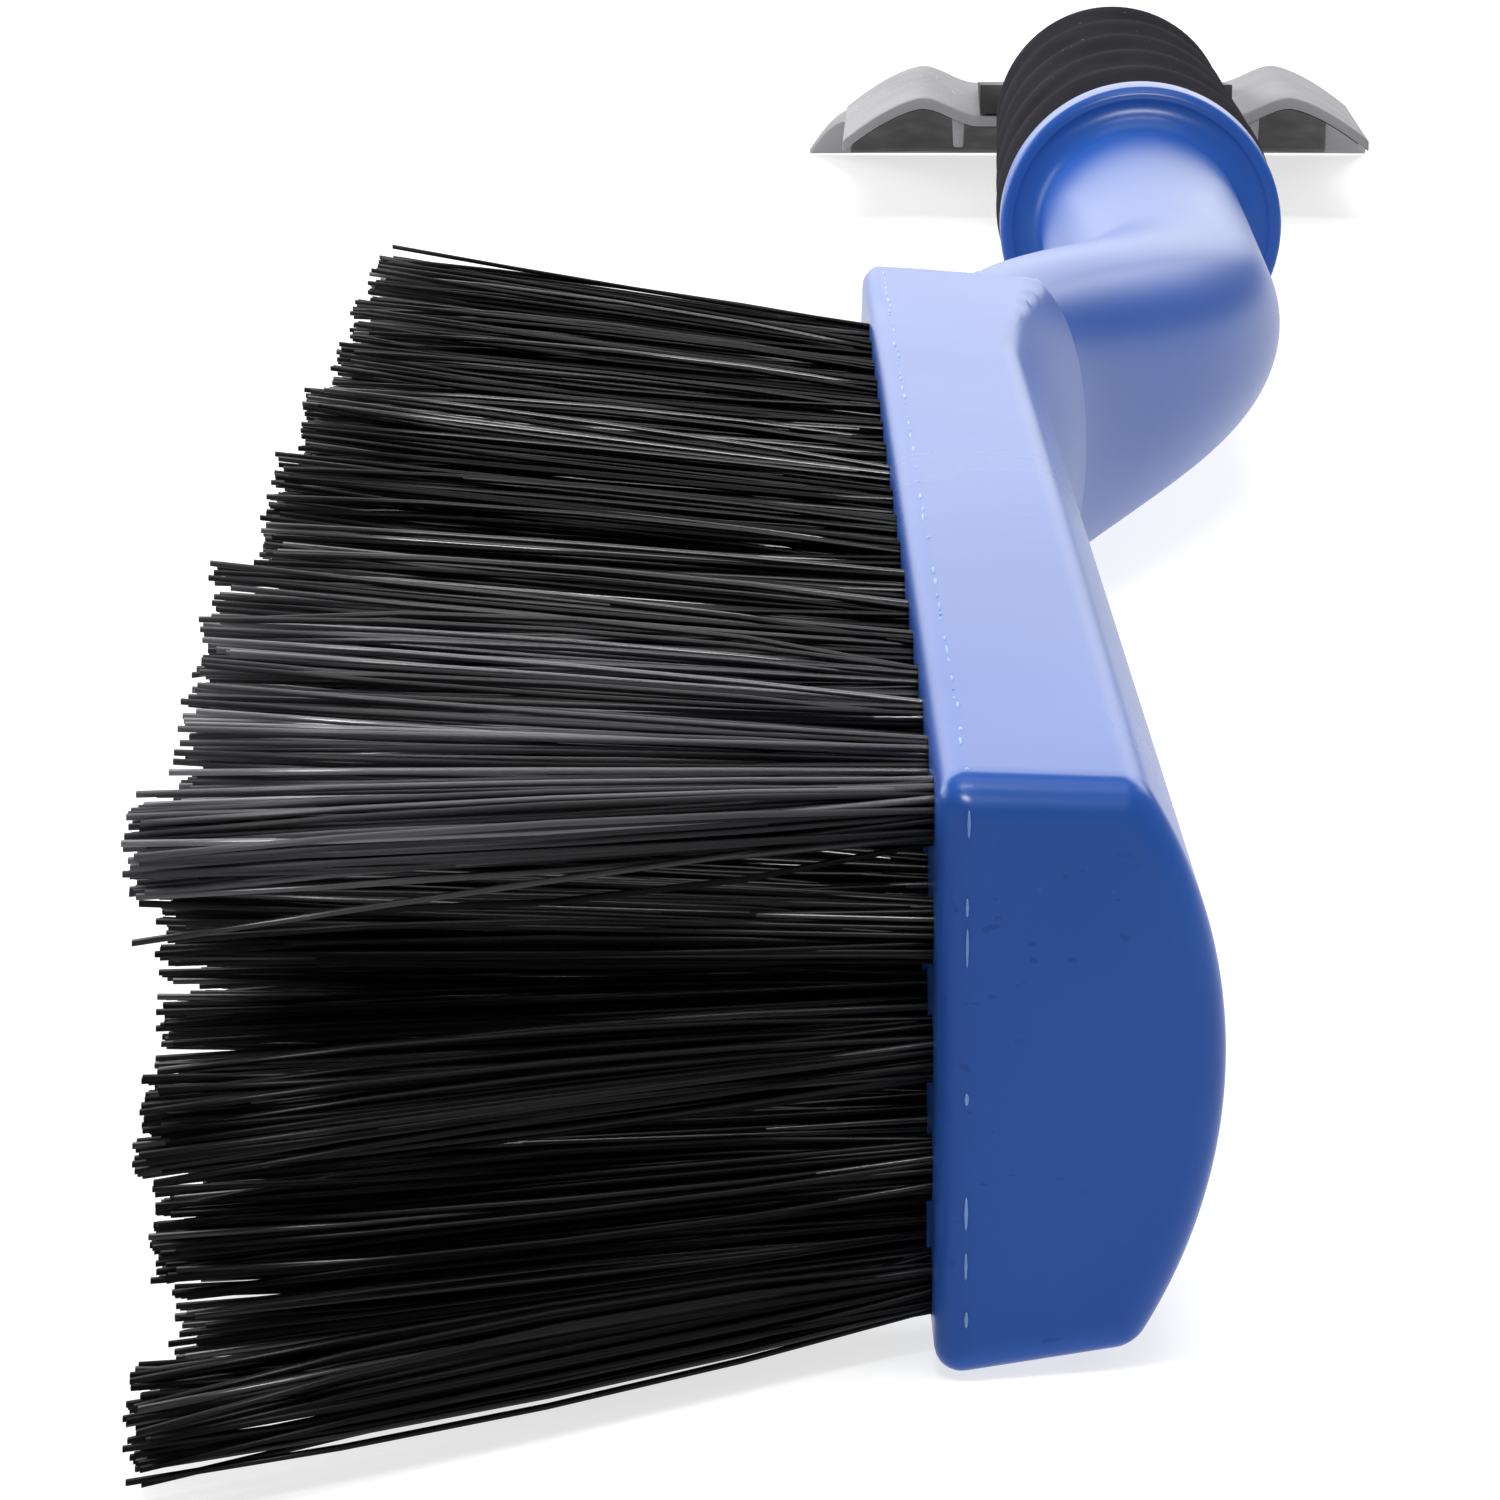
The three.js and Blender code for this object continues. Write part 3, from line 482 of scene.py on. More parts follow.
def fleck_line(line_length, margins, share, longest, gaps, stray):
    """Random flecks along a line: where each starts, its length and its distance from the bristle face."""
    at = margins[0]
    while at < line_length - margins[1]:
        length = rng.uniform(FLECK_SHORTEST, longest)
        x = FLECK_FROM_FACE + rng.normal(0.0, stray)
        if rng.random() < share:
            yield at, length, x
        at += length + rng.uniform(*gaps)


def parting_flash():
    verts, faces = [], []

    def add(start, end, out, heights):
        height = rng.uniform(*heights)
        more, sides = fleck(start, end, rng.uniform(*FLECK_HALF_WIDTHS), height, out)
        faces.extend(shifted(sides, len(verts)))
        verts.extend(more)

    y_end = HEAD_END_LEAN * FLECK_FROM_FACE
    for z, length, x in fleck_line(HEAD_WIDTH, **END_LINE):
        add((x, y_end, z), (x, y_end, z + length), (0.0, -1.0, 0.0), END_FLECK_HEIGHTS)
    for side, out in ((HEAD_WIDTH, 1.0), (0.0, -1.0)):
        z = side - out * FLECK_SUNK
        for y, length, x in fleck_line(HEAD_LENGTH, **SIDE_LINE):
            add((x, y, z), (x, y + length, z), (0.0, 0.0, out), SIDE_FLECK_HEIGHTS)
    return mesh_object("parting_flash", placed(verts), faces)


flash = outward(parting_flash())
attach(flash, "root")


# ---- Bristles ----

FILAMENTS = 54
OUTER_FILAMENTS = 84  # in the lowest row and in each row's nearest tuft, which are seen against the light
FILAMENT_RADIUS = 0.22
FILAMENT_SIDES = 5
FILAMENT_STEPS = 5
FILAMENT_ROOT = 4.0  # how deep a filament sits in its hole
TUFT_FILL = 1.0  # the share of its cell that a tuft fills at its tips
GOLDEN_TURN = 2.39996
END_TUFT_LEANS = (6.0, 1.0, 5.0, 0.0, 3.5)  # how much further each row's nearest tuft is pushed out
END_TUFT_FILL = 0.72
TUFT_LEAN = (0.9, 0.4)  # how much whole tufts differ, along the head and across it
TUFT_TRIM = -0.3  # from the CAD's length to a tuft's usual one
TUFT_TRIM_SPREAD = 0.6
TIP_SPREAD_Y = 0.7
TIP_SPREAD_Z = 0.45
TIP_SHORTEST = 1.8  # how far a filament's tip may stay behind its tuft's
BOW = 0.5
TIP_OVERSHOOT = 1.0  # how far tips may rise above the upper row's
FLOOR_GAP = 0.02
STRAY_SHARE = 0.02
STRAY_REACH = 5.0
STRAY_BOW = 1.2


def splayed_y(y, row):
    """Where a tip comes to lie along the head: the tufts fan out towards both ends."""
    start, end = TUFT_NEAR_MARGIN, HEAD_LENGTH - TUFT_FAR_MARGIN
    from_middle = (2 * y - start - end) / (end - start)
    splay = TUFT_NEAR_SPLAYS[row] if from_middle < 0 else TUFT_FAR_SPLAY
    return y + splay * from_middle ** 3


def filament_path(place, row, fill, tuft_lean, tuft_length):
    """Points along one filament: its root in the hole, then a slightly bowed run to its tip."""
    y, z, oy, oz = place
    spread = fill / (TUFT_HOLE / 2)
    end_y = splayed_y(y + oy * spread * TUFT_PITCH_Y / 2, row) + tuft_lean[0]
    end_y += rng.normal(0.0, TIP_SPREAD_Y)
    end_z = (z + oz * spread * TUFT_PITCH_Z / 2) * (1 + TUFT_LIFT / HEAD_WIDTH)
    end_z += tuft_lean[1] + rng.normal(0.0, TIP_SPREAD_Z)
    bow_y, bow_z = rng.normal(0.0, BOW, 2)
    if rng.random() < STRAY_SHARE:
        end_y += rng.normal(0.0, STRAY_REACH)
        end_z += rng.normal(0.0, STRAY_REACH / 2)
        bow_y += rng.normal(0.0, STRAY_BOW)
    end_z = min(max(end_z, FILAMENT_RADIUS), HEAD_WIDTH + TUFT_LIFT + TIP_OVERSHOOT)
    length = tuft_length - TIP_SHORTEST * rng.random() ** 2
    root = np.array([0.0, y + oy, z + oz])
    end = np.array([-length, end_y, end_z])
    path = [root + np.array([FILAMENT_ROOT, 0.0, 0.0])]
    for t in np.linspace(0.0, 1.0, FILAMENT_STEPS):
        bow = 4 * t * (1 - t)
        path.append(mix(root, end, t) + np.array([0.0, bow_y, bow_z]) * bow)
    path = np.array(path)
    path[:, 2] = np.maximum(path[:, 2], FILAMENT_RADIUS + FLOOR_GAP)
    return path


def bristle_row(row):
    verts, faces = [], []
    turn = around_circle(FILAMENT_SIDES)
    around = FILAMENT_RADIUS * np.stack([np.zeros(FILAMENT_SIDES), np.cos(turn), np.sin(turn)], -1)
    tube = ring_faces(FILAMENT_STEPS + 1, FILAMENT_SIDES)
    for tuft_row, column, y, z in tuft_places():
        if tuft_row != row:
            continue
        tuft_lean = rng.normal(0.0, 1.0, 2) * TUFT_LEAN
        fill = TUFT_FILL
        if column == 0:
            fill = END_TUFT_FILL
            tuft_lean[0] -= END_TUFT_LEANS[row]
        tuft_length = TUFT_LENGTH + rng.normal(TUFT_TRIM, TUFT_TRIM_SPREAD)
        count = OUTER_FILAMENTS if row == 0 or column == 0 else FILAMENTS
        for k in range(count):
            r = (TUFT_HOLE / 2 - FILAMENT_RADIUS) * math.sqrt((k + 0.5) / count)
            a = k * GOLDEN_TURN + rng.uniform(-0.3, 0.3)
            place = (y, z, r * math.cos(a), r * math.sin(a))
            path = filament_path(place, row, fill, tuft_lean, tuft_length)
            faces += shifted(tube, len(verts) * FILAMENT_SIDES)
            verts.extend(point + around for point in path)
    return mesh_object(f"bristles_row{row + 1}", placed(np.concatenate(verts)), faces)


bristle_rows = []
for row in range(TUFT_ROWS):
    made = bristle_row(row)
    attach(made, "root")
    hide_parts(*[f"tuft_row{row + 1}_{c + 1:02d}" for c in range(TUFT_COLUMNS // 2)])
    bristle_rows.append(made)


# ---- Grip ----

GRIP_SIDES = 96
GRIP_STEPS = 110
GRIP_ROUND_STEPS = 8
GRIP_LEAD = 0.4
GRIP_LEAD_LENGTH = 1.0


def grip():
    start = COLLAR_START + COLLAR_THICKNESS + FIT_GAP
    end = start + GRIP_LENGTH
    bore = TUBE_RADIUS + FIT_GAP
    outline = []
    for i in range(GRIP_STEPS + 1):
        t = i / GRIP_STEPS
        y = mix(start + GRIP_ROUND, end - GRIP_ROUND, t)
        swell = GRIP_SWELL * math.cos(2 * math.pi * GRIP_SWELLS * t + math.pi)
        outline.append((GRIP_RADIUS_FRONT - GRIP_TAPER * t - GRIP_SWELL + swell, y))
    turns = [math.pi / 2 * k / GRIP_ROUND_STEPS for k in range(GRIP_ROUND_STEPS + 1)]
    profile = [(bore, start + GRIP_LEAD_LENGTH), (bore + GRIP_LEAD, start)]
    for a in turns[:-1]:
        draw, run = GRIP_ROUND * (1 - math.sin(a)), GRIP_ROUND * (1 - math.cos(a))
        profile.append((outline[0][0] - draw, start + run))
    profile.extend(outline)
    for a in turns[1:]:
        draw, run = GRIP_ROUND * (1 - math.cos(a)), GRIP_ROUND * (1 - math.sin(a))
        profile.append((outline[-1][0] - draw, end - run))
    profile.extend([(bore + GRIP_LEAD, end), (bore, end - GRIP_LEAD_LENGTH)])
    rings = lathe_rings(profile, around_circle(GRIP_SIDES))
    faces = ring_faces(len(rings), GRIP_SIDES, caps=False)
    last = (len(rings) - 1) * GRIP_SIDES
    for i in range(GRIP_SIDES):
        j = (i + 1) % GRIP_SIDES
        faces.append((last + i, last + j, j, i))
    return outward(mesh_object("grip_cover", placed(np.concatenate(rings)), faces))


grip_cover = grip()
grip_cover.data.set_sharp_from_angle(angle=math.radians(50))
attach(grip_cover, "root")
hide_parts("grip_sleeve")


# ---- Scraper blade ----

FLANGE_THICKNESS = 4.0
SOCKET_NECK_LENGTH = 14.5
TONGUE_WIDTH = 38.4
BLADE_LENGTH = 88.0
BLADE_WIDTH = 94.5
BLADE_BACK_WIDTH = 80.5
BLADE_THICKNESS = 1.7
BLADE_EDGE_THICKNESS = 0.9
BLADE_EDGE_DROP = 18.9
BLADE_MIDDLE_DROP = 1.7
BLADE_CREST_RISE = 1.0
BLADE_TIP_DROP = 5.6
BLADE_CREST_AT = 28.0
BLADE_BEND = 0.5
BLADE_STEP = 1.1
BLADE_RIB_AT = 22.5
BLADE_RIB_WIDTH = 2.0
BLADE_RIB_DEPTH = 4.0
BLADE_RIB_LENGTH = 64.0
BLADE_FLARE_FROM = 0.5  # the share of the length after which the blade widens
BLADE_FLARE_POWER = 1.2
BLADE_WING_POWER = 1.5
BLADE_FALL_POWER = 1.5
BLADE_STEP_RUN = 0.015
BLADE_RIB_TAPER = 0.75
BLADE_RIB_ROOT = 0.5  # how far a rib reaches into the blade
BLADE_RIB_DRAFT = 0.25
BLADE_RIB_STEPS = 24
BLADE_COLUMNS = 112
BLADE_BACK_RINGS = 22
BLADE_FRONT_RINGS = 34
BLADE_EDGE_ROUND = 0.28
BLADE_RIB_ROUND = 0.3
SHADE_SHEET_INSET = 1.6  # from the blade's rim to the dark sheet of painted shade under it, at the blade's root
SHADE_SHEET_FRONT_INSET = 7.0  # and at its cutting edge
SHADE_SHEET_GAP = 0.03
SHADE_SHEET_THICKNESS = 0.2
SHADE_SHEET_REACH = (0.012, 0.985)  # the shares of the blade's length where it starts and ends
SHADE_SHEET_RINGS = 60
SHADE_SHEET_COLUMNS = 96
grip_end = COLLAR_START + COLLAR_THICKNESS + FIT_GAP + GRIP_LENGTH
blade_back = grip_end + FIT_GAP + FLANGE_THICKNESS + SOCKET_NECK_LENGTH


def blade_half_width(along):
    flare = max(0.0, (along - BLADE_FLARE_FROM) / (1 - BLADE_FLARE_FROM)) ** BLADE_FLARE_POWER
    return mix(BLADE_BACK_WIDTH, BLADE_WIDTH, flare) / 2


def blade_top(along, across):
    """Height of the blade's upper surface, at a share of its length and a distance from its middle."""
    distance = abs(across)
    flat = TONGUE_WIDTH / 2 + FIT_GAP
    outward_share = (distance - BLADE_CREST_AT) / (blade_half_width(along) - BLADE_CREST_AT)
    inner = mix(-BLADE_MIDDLE_DROP, BLADE_CREST_RISE, smooth((distance - flat) / (BLADE_CREST_AT - flat)))
    outer = mix(BLADE_CREST_RISE, -BLADE_TIP_DROP, max(0.0, outward_share) ** BLADE_WING_POWER)
    back = inner if distance < BLADE_CREST_AT else outer
    fall = max(0.0, (along - BLADE_BEND) / (1 - BLADE_BEND)) ** BLADE_FALL_POWER
    step = BLADE_STEP * (1 - fall) * smooth((along - BLADE_BEND) / BLADE_STEP_RUN)
    return mix(back, BLADE_EDGE_THICKNESS - BLADE_EDGE_DROP, fall) - step


def blade_thickness(along):
    return mix(BLADE_THICKNESS, BLADE_EDGE_THICKNESS, smooth((along - BLADE_BEND) / (1 - BLADE_BEND)))


def handle_mesh(name, points, faces):
    """A closed mesh from points of the handle's frame."""
    points = np.array(points)
    return outward(mesh_object(name, placed(handle_point(points[:, 0], points[:, 1], points[:, 2])), faces))


def blade_skin(alongs, columns, half_width, gap, thickness):
    """Rings of a sheet that follows the blade: the upper side of each, then the lower one backwards."""
    points = []
    for along in alongs:
        top, bottom = [], []
        for across in np.linspace(-1.0, 1.0, columns + 1) * half_width(along):
            y = blade_back + along * BLADE_LENGTH
            z = blade_top(along, across) - gap(along)
            top.append((across, y, z))
            bottom.append((across, y, z - thickness(along)))
        points += top + bottom[::-1]
    return points


def blade_shell():
    step = [BLADE_BEND + BLADE_STEP_RUN * k / 4 for k in (1, 2, 3, 4)]
    alongs = [*np.linspace(0.0, BLADE_BEND, BLADE_BACK_RINGS), *step]
    alongs += list(np.linspace(BLADE_BEND + BLADE_STEP_RUN, 1.0, BLADE_FRONT_RINGS))[1:]
    points = blade_skin(alongs, BLADE_COLUMNS, blade_half_width, lambda along: 0.0, blade_thickness)
    count = 2 * (BLADE_COLUMNS + 1)
    faces = ring_faces(len(alongs), count, caps=False)
    for base in (0, (len(alongs) - 1) * count):
        for i in range(BLADE_COLUMNS):
            quad = (base + i, base + i + 1, base + count - 2 - i, base + count - 1 - i)
            faces.append(quad if base == 0 else quad[::-1])
    made = handle_mesh("blade_shell", points, faces)
    round_edges(made, BLADE_EDGE_ROUND, segments=2, least_angle=50)
    apply_modifiers(made)
    shade(made, sharp_angle=38)
    return made


def shade_sheet_half_width(along):
    return blade_half_width(along) - SHADE_SHEET_INSET - (SHADE_SHEET_FRONT_INSET - SHADE_SHEET_INSET) * along**2


def blade_shade_sheet():
    """A dark sheet of painted shade in the blade's hollow: a thin skin that follows its underside."""
    points = blade_skin(
        np.linspace(*SHADE_SHEET_REACH, SHADE_SHEET_RINGS), SHADE_SHEET_COLUMNS, shade_sheet_half_width,
        lambda along: blade_thickness(along) + SHADE_SHEET_GAP, lambda along: SHADE_SHEET_THICKNESS)
    return handle_mesh("blade_shade_sheet", points, ring_faces(SHADE_SHEET_RINGS, 2 * (SHADE_SHEET_COLUMNS + 1)))


def blade_rib(side):
    across = side * BLADE_RIB_AT
    wide, narrow = BLADE_RIB_WIDTH / 2, BLADE_RIB_WIDTH / 2 - BLADE_RIB_DRAFT
    points = []
    for i in range(BLADE_RIB_STEPS + 1):
        share = i / BLADE_RIB_STEPS
        along = share * BLADE_RIB_LENGTH / BLADE_LENGTH
        y = blade_back + FIT_GAP + along * BLADE_LENGTH
        under = blade_top(along, across) - blade_thickness(along)
        high, low = under + BLADE_RIB_ROOT, under - BLADE_RIB_DEPTH * (1 - BLADE_RIB_TAPER * share**2)
        for x, z in ((-wide, high), (wide, high), (narrow, low), (-narrow, low)):
            points.append((across + x, y, z))
    name = "blade_rib_left" if side < 0 else "blade_rib_right"
    made = handle_mesh(name, points, ring_faces(BLADE_RIB_STEPS + 1, 4))
    round_edges(made, BLADE_RIB_ROUND, segments=2, least_angle=50)
    apply_modifiers(made)
    shade(made, sharp_angle=50)
    return made


WELD_DISTANCE = 1e-6
FLAT_ANGLE = 0.6  # facets that turn by less than this are joined
SOCKET_ROUND = 0.35
RIVET_ROUND = 0.25
SCREW_ROUND = 0.2


def refined(node, name, edge_round):
    """A copy of a CAD node's mesh with its facets joined and its edges rounded, standing for the node."""
    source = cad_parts[node]
    made = bpy.data.objects.new(name, source.data.copy())
    bpy.context.collection.objects.link(made)
    made.data.materials.clear()
    weld = made.modifiers.new("weld", "WELD")
    weld.merge_threshold = WELD_DISTANCE
    flat = made.modifiers.new("flat", "DECIMATE")
    flat.decimate_type, flat.angle_limit = "DISSOLVE", math.radians(FLAT_ANGLE)
    round_edges(made, edge_round, segments=3, least_angle=32)
    apply_modifiers(made)
    shade(made, sharp_angle=36)
    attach(made, "root")
    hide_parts(node)
    return made


shell = blade_shell()
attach(shell, "root")
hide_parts("scraper_blade")
# A dark sheet under the blade: painted shade for its hollow.
shade_sheet = blade_shade_sheet()
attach(shade_sheet, "root")
ribs = [blade_rib(-1), blade_rib(1)]
for rib in ribs:
    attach(rib, "root")
socket = refined("scraper_socket", "socket_moulding", SOCKET_ROUND)
rivets = [
    refined("blade_rivet_left", "rivet_left", RIVET_ROUND),
    refined("blade_rivet_right", "rivet_right", RIVET_ROUND),
]
screw = refined("shank_screw", "screw", SCREW_ROUND)


# ---- Materials ----

MIX_FACTOR, MIX_A, MIX_B = 0, 6, 7  # a colour mix's sockets
MIX_RESULT = 2
SPECK_EDGE = 0.02
PATCH_REACH = (0.5, 0.6)
PAINTED_SHEEN_REACH = 0.09  # the painted sheen on the upper filaments fades out this far along the head, in metres
PAINTED_SHEEN_START = 0.01
PAINTED_SHEEN_HEIGHTS = (0.032, 0.038)


def new_material(name, base, roughness, metallic=0.0):
    material = bpy.data.materials.new(name)
    material.use_nodes = True
    shader = material.node_tree.nodes["Principled BSDF"]
    shader.inputs["Base Color"].default_value = (*base, 1.0)
    shader.inputs["Roughness"].default_value = roughness
    shader.inputs["Metallic"].default_value = metallic
    return material, shader


def node(material, kind, **settings):
    made = material.node_tree.nodes.new(kind)
    for key, value in settings.items():
        setattr(made, key, value)
    return made


def link(material, a, out, b, into):
    material.node_tree.links.new(a.outputs[out], b.inputs[into])


def coordinates(material, scale=(1.0, 1.0, 1.0), turn=(0.0, 0.0, 0.0)):
    where = node(material, "ShaderNodeTexCoord")
    mapping = node(material, "ShaderNodeMapping")
    mapping.inputs["Scale"].default_value = scale
    mapping.inputs["Rotation"].default_value = turn
    link(material, where, "Object", mapping, "Vector")
    return mapping


def noise(material, size_mm, detail=2.0, scale=(1.0, 1.0, 1.0), turn=(0.0, 0.0, 0.0)):
    made = node(material, "ShaderNodeTexNoise")
    made.inputs["Scale"].default_value = 1.0 / (size_mm * MM)
    made.inputs["Detail"].default_value = detail
    link(material, coordinates(material, scale, turn), "Vector", made, "Vector")
    return made


def ramp(material, source, out, stops):
    made = node(material, "ShaderNodeValToRGB")
    elements = made.color_ramp.elements
    while len(elements) < len(stops):
        elements.new(0.5)
    for element, (place, value) in zip(elements, stops):
        element.position = place
        element.color = (*value, 1.0) if isinstance(value, tuple) else (value, value, value, 1.0)
    link(material, source, out, made, "Fac")
    return made


def mixed(material, factor, a, b):
    """A colour mix; the factor and a are nodes, and b is a colour."""
    made = node(material, "ShaderNodeMix", data_type="RGBA")
    link(material, factor, 0, made, MIX_FACTOR)
    link(material, a, MIX_RESULT if a.bl_idname == "ShaderNodeMix" else 0, made, MIX_A)
    made.inputs[MIX_B].default_value = (*b, 1.0)
    return made


def clouded(material, size_mm, detail, low, high, reach=(0.3, 0.7)):
    """Soft patches of noise between two values or two colours."""
    cloud = noise(material, size_mm, detail)
    return ramp(material, cloud, "Fac", [(reach[0], low), (reach[1], high)])


def bumps(material, shader, layers):
    """Chains bump nodes: (height node, output, strength, distance in millimetres)."""
    last = None
    for height, out, strength, distance in layers:
        bump = node(material, "ShaderNodeBump")
        bump.inputs["Strength"].default_value = strength
        bump.inputs["Distance"].default_value = distance * MM
        link(material, height, out, bump, "Height")
        if last:
            link(material, last, "Normal", bump, "Normal")
        last = bump
    link(material, last, "Normal", shader, "Normal")


def product(material, first, second):
    """The product of what two nodes give first; the second may be a number."""
    made = node(material, "ShaderNodeMath", operation="MULTIPLY")
    link(material, first, 0, made, 0)
    if isinstance(second, float):
        made.inputs[1].default_value = second
    else:
        link(material, second, 0, made, 1)
    return made


def short_scratches(material, size_mm, stretch, turn, patch_mm, share):
    """A mask of short thin scratches that lie in patches."""
    scratch = noise(material, size_mm, 1.0, scale=stretch, turn=(0.0, 0.0, turn))
    lines = ramp(material, scratch, "Fac", [(share, 0.0), (share + SPECK_EDGE, 1.0)])
    return product(material, lines, clouded(material, patch_mm, 1.0, 0.0, 1.0, PATCH_REACH))


def blue_plastic(name, low, high):
    """Satin blue moulding with faint clouds, pale specks and patches of short dark scratches."""
    material, shader = new_material(name, mix(np.array(low), np.array(high), 0.5), 0.28)
    shader.inputs["Specular IOR Level"].default_value = 0.12
    tone = clouded(material, 40.0, 2.0, low, high, (0.35, 0.65))
    speck = noise(material, 1.1)
    specks = ramp(material, speck, "Fac", [(0.74, 0.0), (0.78, 0.2)])
    speckled = mixed(material, specks, tone, (0.06, 0.15, 0.42))
    marks = short_scratches(material, 0.9, (0.3, 2.2, 1.0), 0.06, 15.0, 0.7)
    coloured = mixed(material, product(material, marks, 0.5), speckled, (0.01, 0.04, 0.2))
    link(material, coloured, MIX_RESULT, shader, "Base Color")
    link(material, clouded(material, 30.0, 2.0, 0.272, 0.288), "Color", shader, "Roughness")
    grain = noise(material, 0.6)
    bumps(material, shader, [(grain, "Fac", 0.02, 0.01), (marks, "Value", -0.08, 0.01)])
    return material


def fade(material, axis, start, end):
    """A value that goes from 0 to 1 between two places along an axis, in metres."""
    where = node(material, "ShaderNodeTexCoord")
    split = node(material, "ShaderNodeSeparateXYZ")
    link(material, where, "Object", split, "Vector")
    made = node(material, "ShaderNodeMapRange", interpolation_type="SMOOTHSTEP")
    made.inputs["From Min"].default_value = start
    made.inputs["From Max"].default_value = end
    link(material, split, axis, made, "Value")
    return made


def bristle_nylon():
    """Black nylon, painted lighter grey on the upper rows towards the near end as a painted highlight of
    the light from above; no two filaments are alike.
    """
    material, shader = new_material("black_nylon", (0.006, 0.006, 0.007), 0.42)
    island = node(material, "ShaderNodeNewGeometry")

    def by_filament(stops):
        return ramp(material, island, "Random Per Island", stops)

    tone = by_filament([
        (0.0, (0.003, 0.003, 0.0035)), (0.85, (0.009, 0.009, 0.01)), (1.0, (0.035, 0.034, 0.037))])
    near = fade(material, "Y", HEAD_ORIGIN.y + PAINTED_SHEEN_REACH, HEAD_ORIGIN.y - PAINTED_SHEEN_START)
    upper = fade(material, "Z", *PAINTED_SHEEN_HEIGHTS)
    share = by_filament([(0.0, 0.12), (0.5, 0.3), (1.0, 1.0)])
    # Painted highlight: a share of the upper filaments towards the near end is mixed towards grey, where
    # light from above catches them.
    painted_sheen = product(material, product(material, near, upper), share)
    coloured = mixed(material, painted_sheen, tone, (0.2, 0.196, 0.212))
    link(material, coloured, MIX_RESULT, shader, "Base Color")
    link(material, by_filament([(0.0, 0.5), (0.7, 0.42), (1.0, 0.3)]), "Color", shader, "Roughness")
    sheen = by_filament([(0.0, 0.03), (0.7, 0.1), (0.9, 0.22), (1.0, 0.42)])
    link(material, sheen, "Color", shader, "Specular IOR Level")
    drawn = noise(material, 0.5, scale=(0.05, 1.0, 1.0))
    bumps(material, shader, [(drawn, "Fac", 0.25, 0.03)])
    return material


def grip_rubber():
    """Matte black rubber with a little dust in its grain."""
    material, shader = new_material("grip_rubber", (0.014, 0.013, 0.017), 0.85)
    shader.inputs["Specular IOR Level"].default_value = 0.02
    tone = clouded(material, 14.0, 3.0, (0.011, 0.0105, 0.0135), (0.017, 0.016, 0.021))
    speck = noise(material, 0.9, 1.0)
    specks = ramp(material, speck, "Fac", [(0.78, 0.0), (0.78 + SPECK_EDGE, 1.0)])
    coloured = mixed(material, specks, tone, (0.16, 0.16, 0.19))
    link(material, coloured, MIX_RESULT, shader, "Base Color")
    link(material, clouded(material, 6.0, 3.0, 0.78, 0.9), "Color", shader, "Roughness")
    bumps(material, shader, [(noise(material, 0.35, 3.0), "Fac", 0.35, 0.05)])
    return material


# Black plastic for the socket; on the sheet under the blade the same black is painted shade.
def socket_plastic_and_painted_shade():
    material, shader = new_material("black_plastic_and_painted_shade", (0.012, 0.012, 0.013), 0.5)
    shader.inputs["Specular IOR Level"].default_value = 0.25
    tone = clouded(material, 10.0, 3.0, (0.009, 0.009, 0.01), (0.016, 0.016, 0.018))
    link(material, tone, "Color", shader, "Base Color")
    link(material, clouded(material, 5.0, 3.0, 0.42, 0.58), "Color", shader, "Roughness")
    bumps(material, shader, [(noise(material, 0.3), "Fac", 0.3, 0.04)])
    return material


def blade_plastic():
    """Satin grey moulding, scratched pale by use."""
    material, shader = new_material("grey_moulded_plastic", (0.27, 0.268, 0.285), 0.45)
    shader.inputs["Specular IOR Level"].default_value = 0.08
    tone = clouded(material, 18.0, 3.0, (0.25, 0.248, 0.264), (0.29, 0.288, 0.306))
    marks = short_scratches(material, 0.9, (2.0, 0.2, 1.0), 0.06, 20.0, 0.7)
    coloured = mixed(material, marks, tone, (0.36, 0.36, 0.38))
    link(material, coloured, MIX_RESULT, shader, "Base Color")
    link(material, clouded(material, 8.0, 3.0, 0.5, 0.62), "Color", shader, "Roughness")
    bumps(material, shader, [(noise(material, 0.4), "Fac", 0.12, 0.03), (marks, "Value", -0.3, 0.02)])
    return material


def zinc_steel():
    material, shader = new_material("zinc_plated_steel", (0.5, 0.5, 0.52), 0.35, 1.0)
    tone = clouded(material, 3.0, 4.0, (0.42, 0.42, 0.44), (0.58, 0.58, 0.6))
    link(material, tone, "Color", shader, "Base Color")
    link(material, clouded(material, 3.0, 4.0, 0.28, 0.45), "Color", shader, "Roughness")
    bumps(material, shader, [(noise(material, 0.25), "Fac", 0.2, 0.02)])
    return material


def dress(material, *objects):
    for obj in objects:
        obj.data.materials.clear()
        obj.data.materials.append(material)


BLUE = (0.018, 0.078, 0.33), (0.023, 0.09, 0.37)
PALE_BLUE = (0.1, 0.24, 0.6), (0.2, 0.36, 0.7)
dress(blue_plastic("blue_moulded_plastic", *BLUE), head)
dress(blue_plastic("pale_flash", *PALE_BLUE), flash)
dress(bristle_nylon(), *bristle_rows)
dress(grip_rubber(), grip_cover)
# The socket is black plastic; the sheet under the blade is painted shade.
dress(socket_plastic_and_painted_shade(), socket, shade_sheet)
dress(blade_plastic(), shell, *ribs)
steel = zinc_steel()
dress(steel, *rivets, screw)
for name in ("core_tube", "socket_pin"):
    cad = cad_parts[name]
    for slot in cad.material_slots:
        slot.material = steel


# ---- Floor, lights and camera ----

FLOOR_SIZE = 6.0  # metres from its middle to its edge


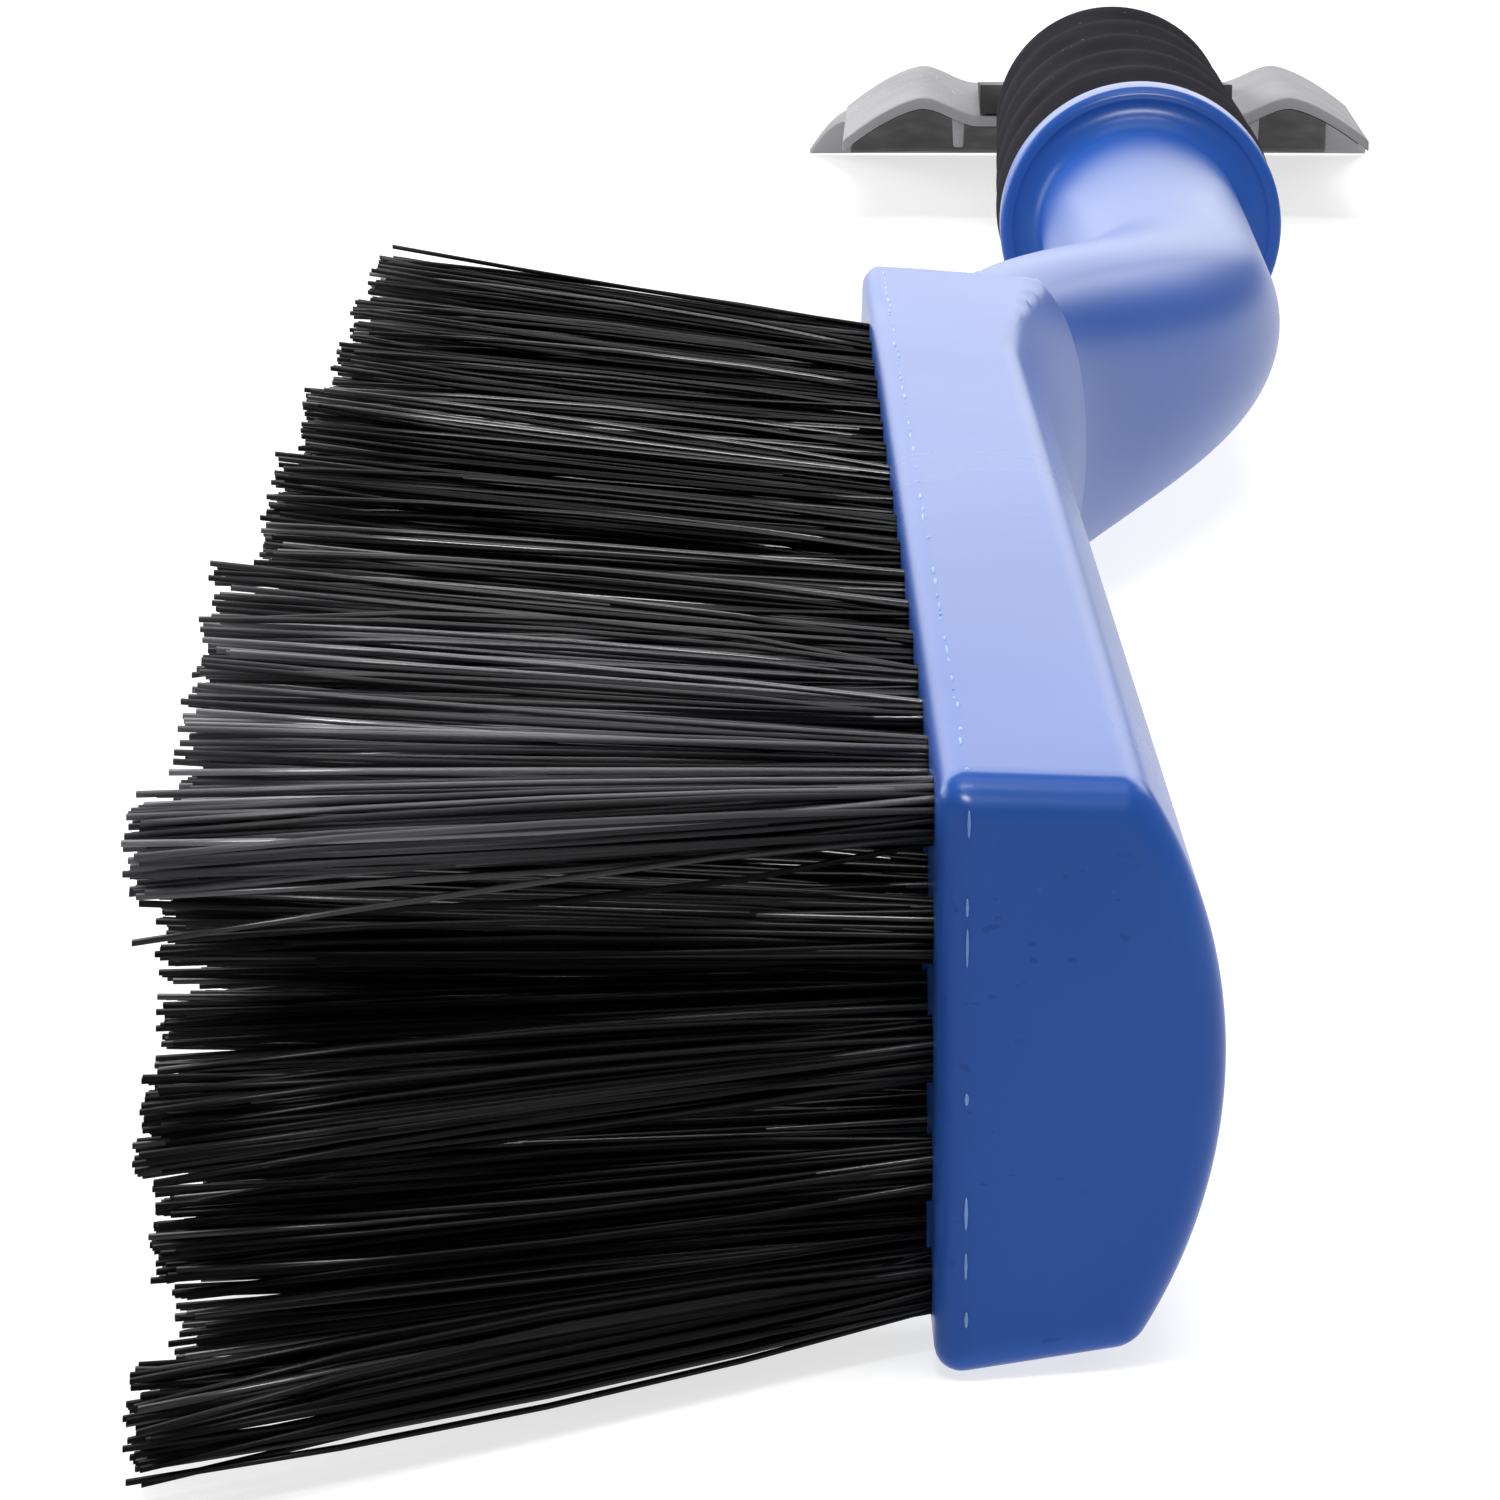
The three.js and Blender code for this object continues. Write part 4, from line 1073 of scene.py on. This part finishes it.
def floor():
    """A pale floor that glows a little, so that it comes out white without glare on the object."""
    corners = [(x * FLOOR_SIZE, y * FLOOR_SIZE, 0) for x, y in ((-1, -1), (1, -1), (1, 1), (-1, 1))]
    made = mesh_object("floor", corners, [(0, 1, 2, 3)])
    material, shader = new_material("pale_floor", (0.38, 0.38, 0.38), 0.9)
    shader.inputs["Specular IOR Level"].default_value = 0.1
    shader.inputs["Emission Color"].default_value = (1.0, 1.0, 1.0, 1.0)
    shader.inputs["Emission Strength"].default_value = 0.72
    dress(material, made)


def softbox(name, place, aim, width, height, power):
    light = bpy.data.lights.new(name, "AREA")
    light.shape, light.size, light.size_y = "RECTANGLE", width, height
    light.energy = power
    made = bpy.data.objects.new(name, light)
    made.location = place
    made.rotation_mode = "QUATERNION"
    made.rotation_quaternion = (Vector(aim) - Vector(place)).to_track_quat("-Z", "Y")
    made.visible_camera = False
    bpy.context.collection.objects.link(made)
    return made


floor()
softbox("back_wall", (-0.55, 1.7, 0.55), (-0.2, 0.0, 0.1), 2.6, 1.0, 18.0)
softbox("ceiling", (0.0, 0.2, 2.2), (0.0, 0.2, 0.0), 2.0, 2.0, 32.0)
softbox("key", (0.0, -0.3, 0.75), (0.0, -0.28, 0.0), 0.4, 0.13, 3.8)
softbox("left", (-1.5, 0.75, 0.5), (0.0, 0.25, 0.02), 1.4, 0.9, 27.0)
softbox("right_high", (1.25, 1.45, 0.85), (0.0, 0.1, 0.0), 1.3, 0.8, 13.0)
glint = softbox("glint", (0.0, -0.75, 0.56), (0.0, -0.28, 0.03), 0.36, 0.1, 14.0)
glint.visible_diffuse = False  # it only shows as a highlight on glossy edges

world = bpy.data.worlds.new("studio")
world.use_nodes = True
background = world.node_tree.nodes["Background"]
background.inputs["Color"].default_value = (1.0, 1.0, 1.0, 1.0)
background.inputs["Strength"].default_value = 0.15
bpy.context.scene.world = world
bpy.context.scene.view_settings.view_transform = "Standard"

CAMERA_FROM_HEAD = Vector((-0.01103, -0.30031, 0.11406))
CAMERA_PITCH = 0.24165
CAMERA_YAW = -0.00045
CAMERA_ROLL = -0.00401
CAMERA_LENS = 125.09
CAMERA_SENSOR = 36.0

camera = bpy.data.objects.new("camera", bpy.data.cameras.new("camera"))
bpy.context.collection.objects.link(camera)
forward = Vector((
    math.sin(CAMERA_YAW) * math.cos(CAMERA_PITCH),
    math.cos(CAMERA_YAW) * math.cos(CAMERA_PITCH),
    -math.sin(CAMERA_PITCH),
))
level = Vector((math.cos(CAMERA_YAW), -math.sin(CAMERA_YAW), 0.0))
above = level.cross(forward)
right = level * math.cos(CAMERA_ROLL) + above * math.sin(CAMERA_ROLL)
up = above * math.cos(CAMERA_ROLL) - level * math.sin(CAMERA_ROLL)
turned = Matrix((right, up, -forward)).transposed().to_4x4()
camera.matrix_world = Matrix.Translation(HEAD_ORIGIN + CAMERA_FROM_HEAD) @ turned
camera.data.lens = CAMERA_LENS
camera.data.sensor_width = CAMERA_SENSOR
camera.data.clip_start = 0.01
bpy.context.scene.camera = camera
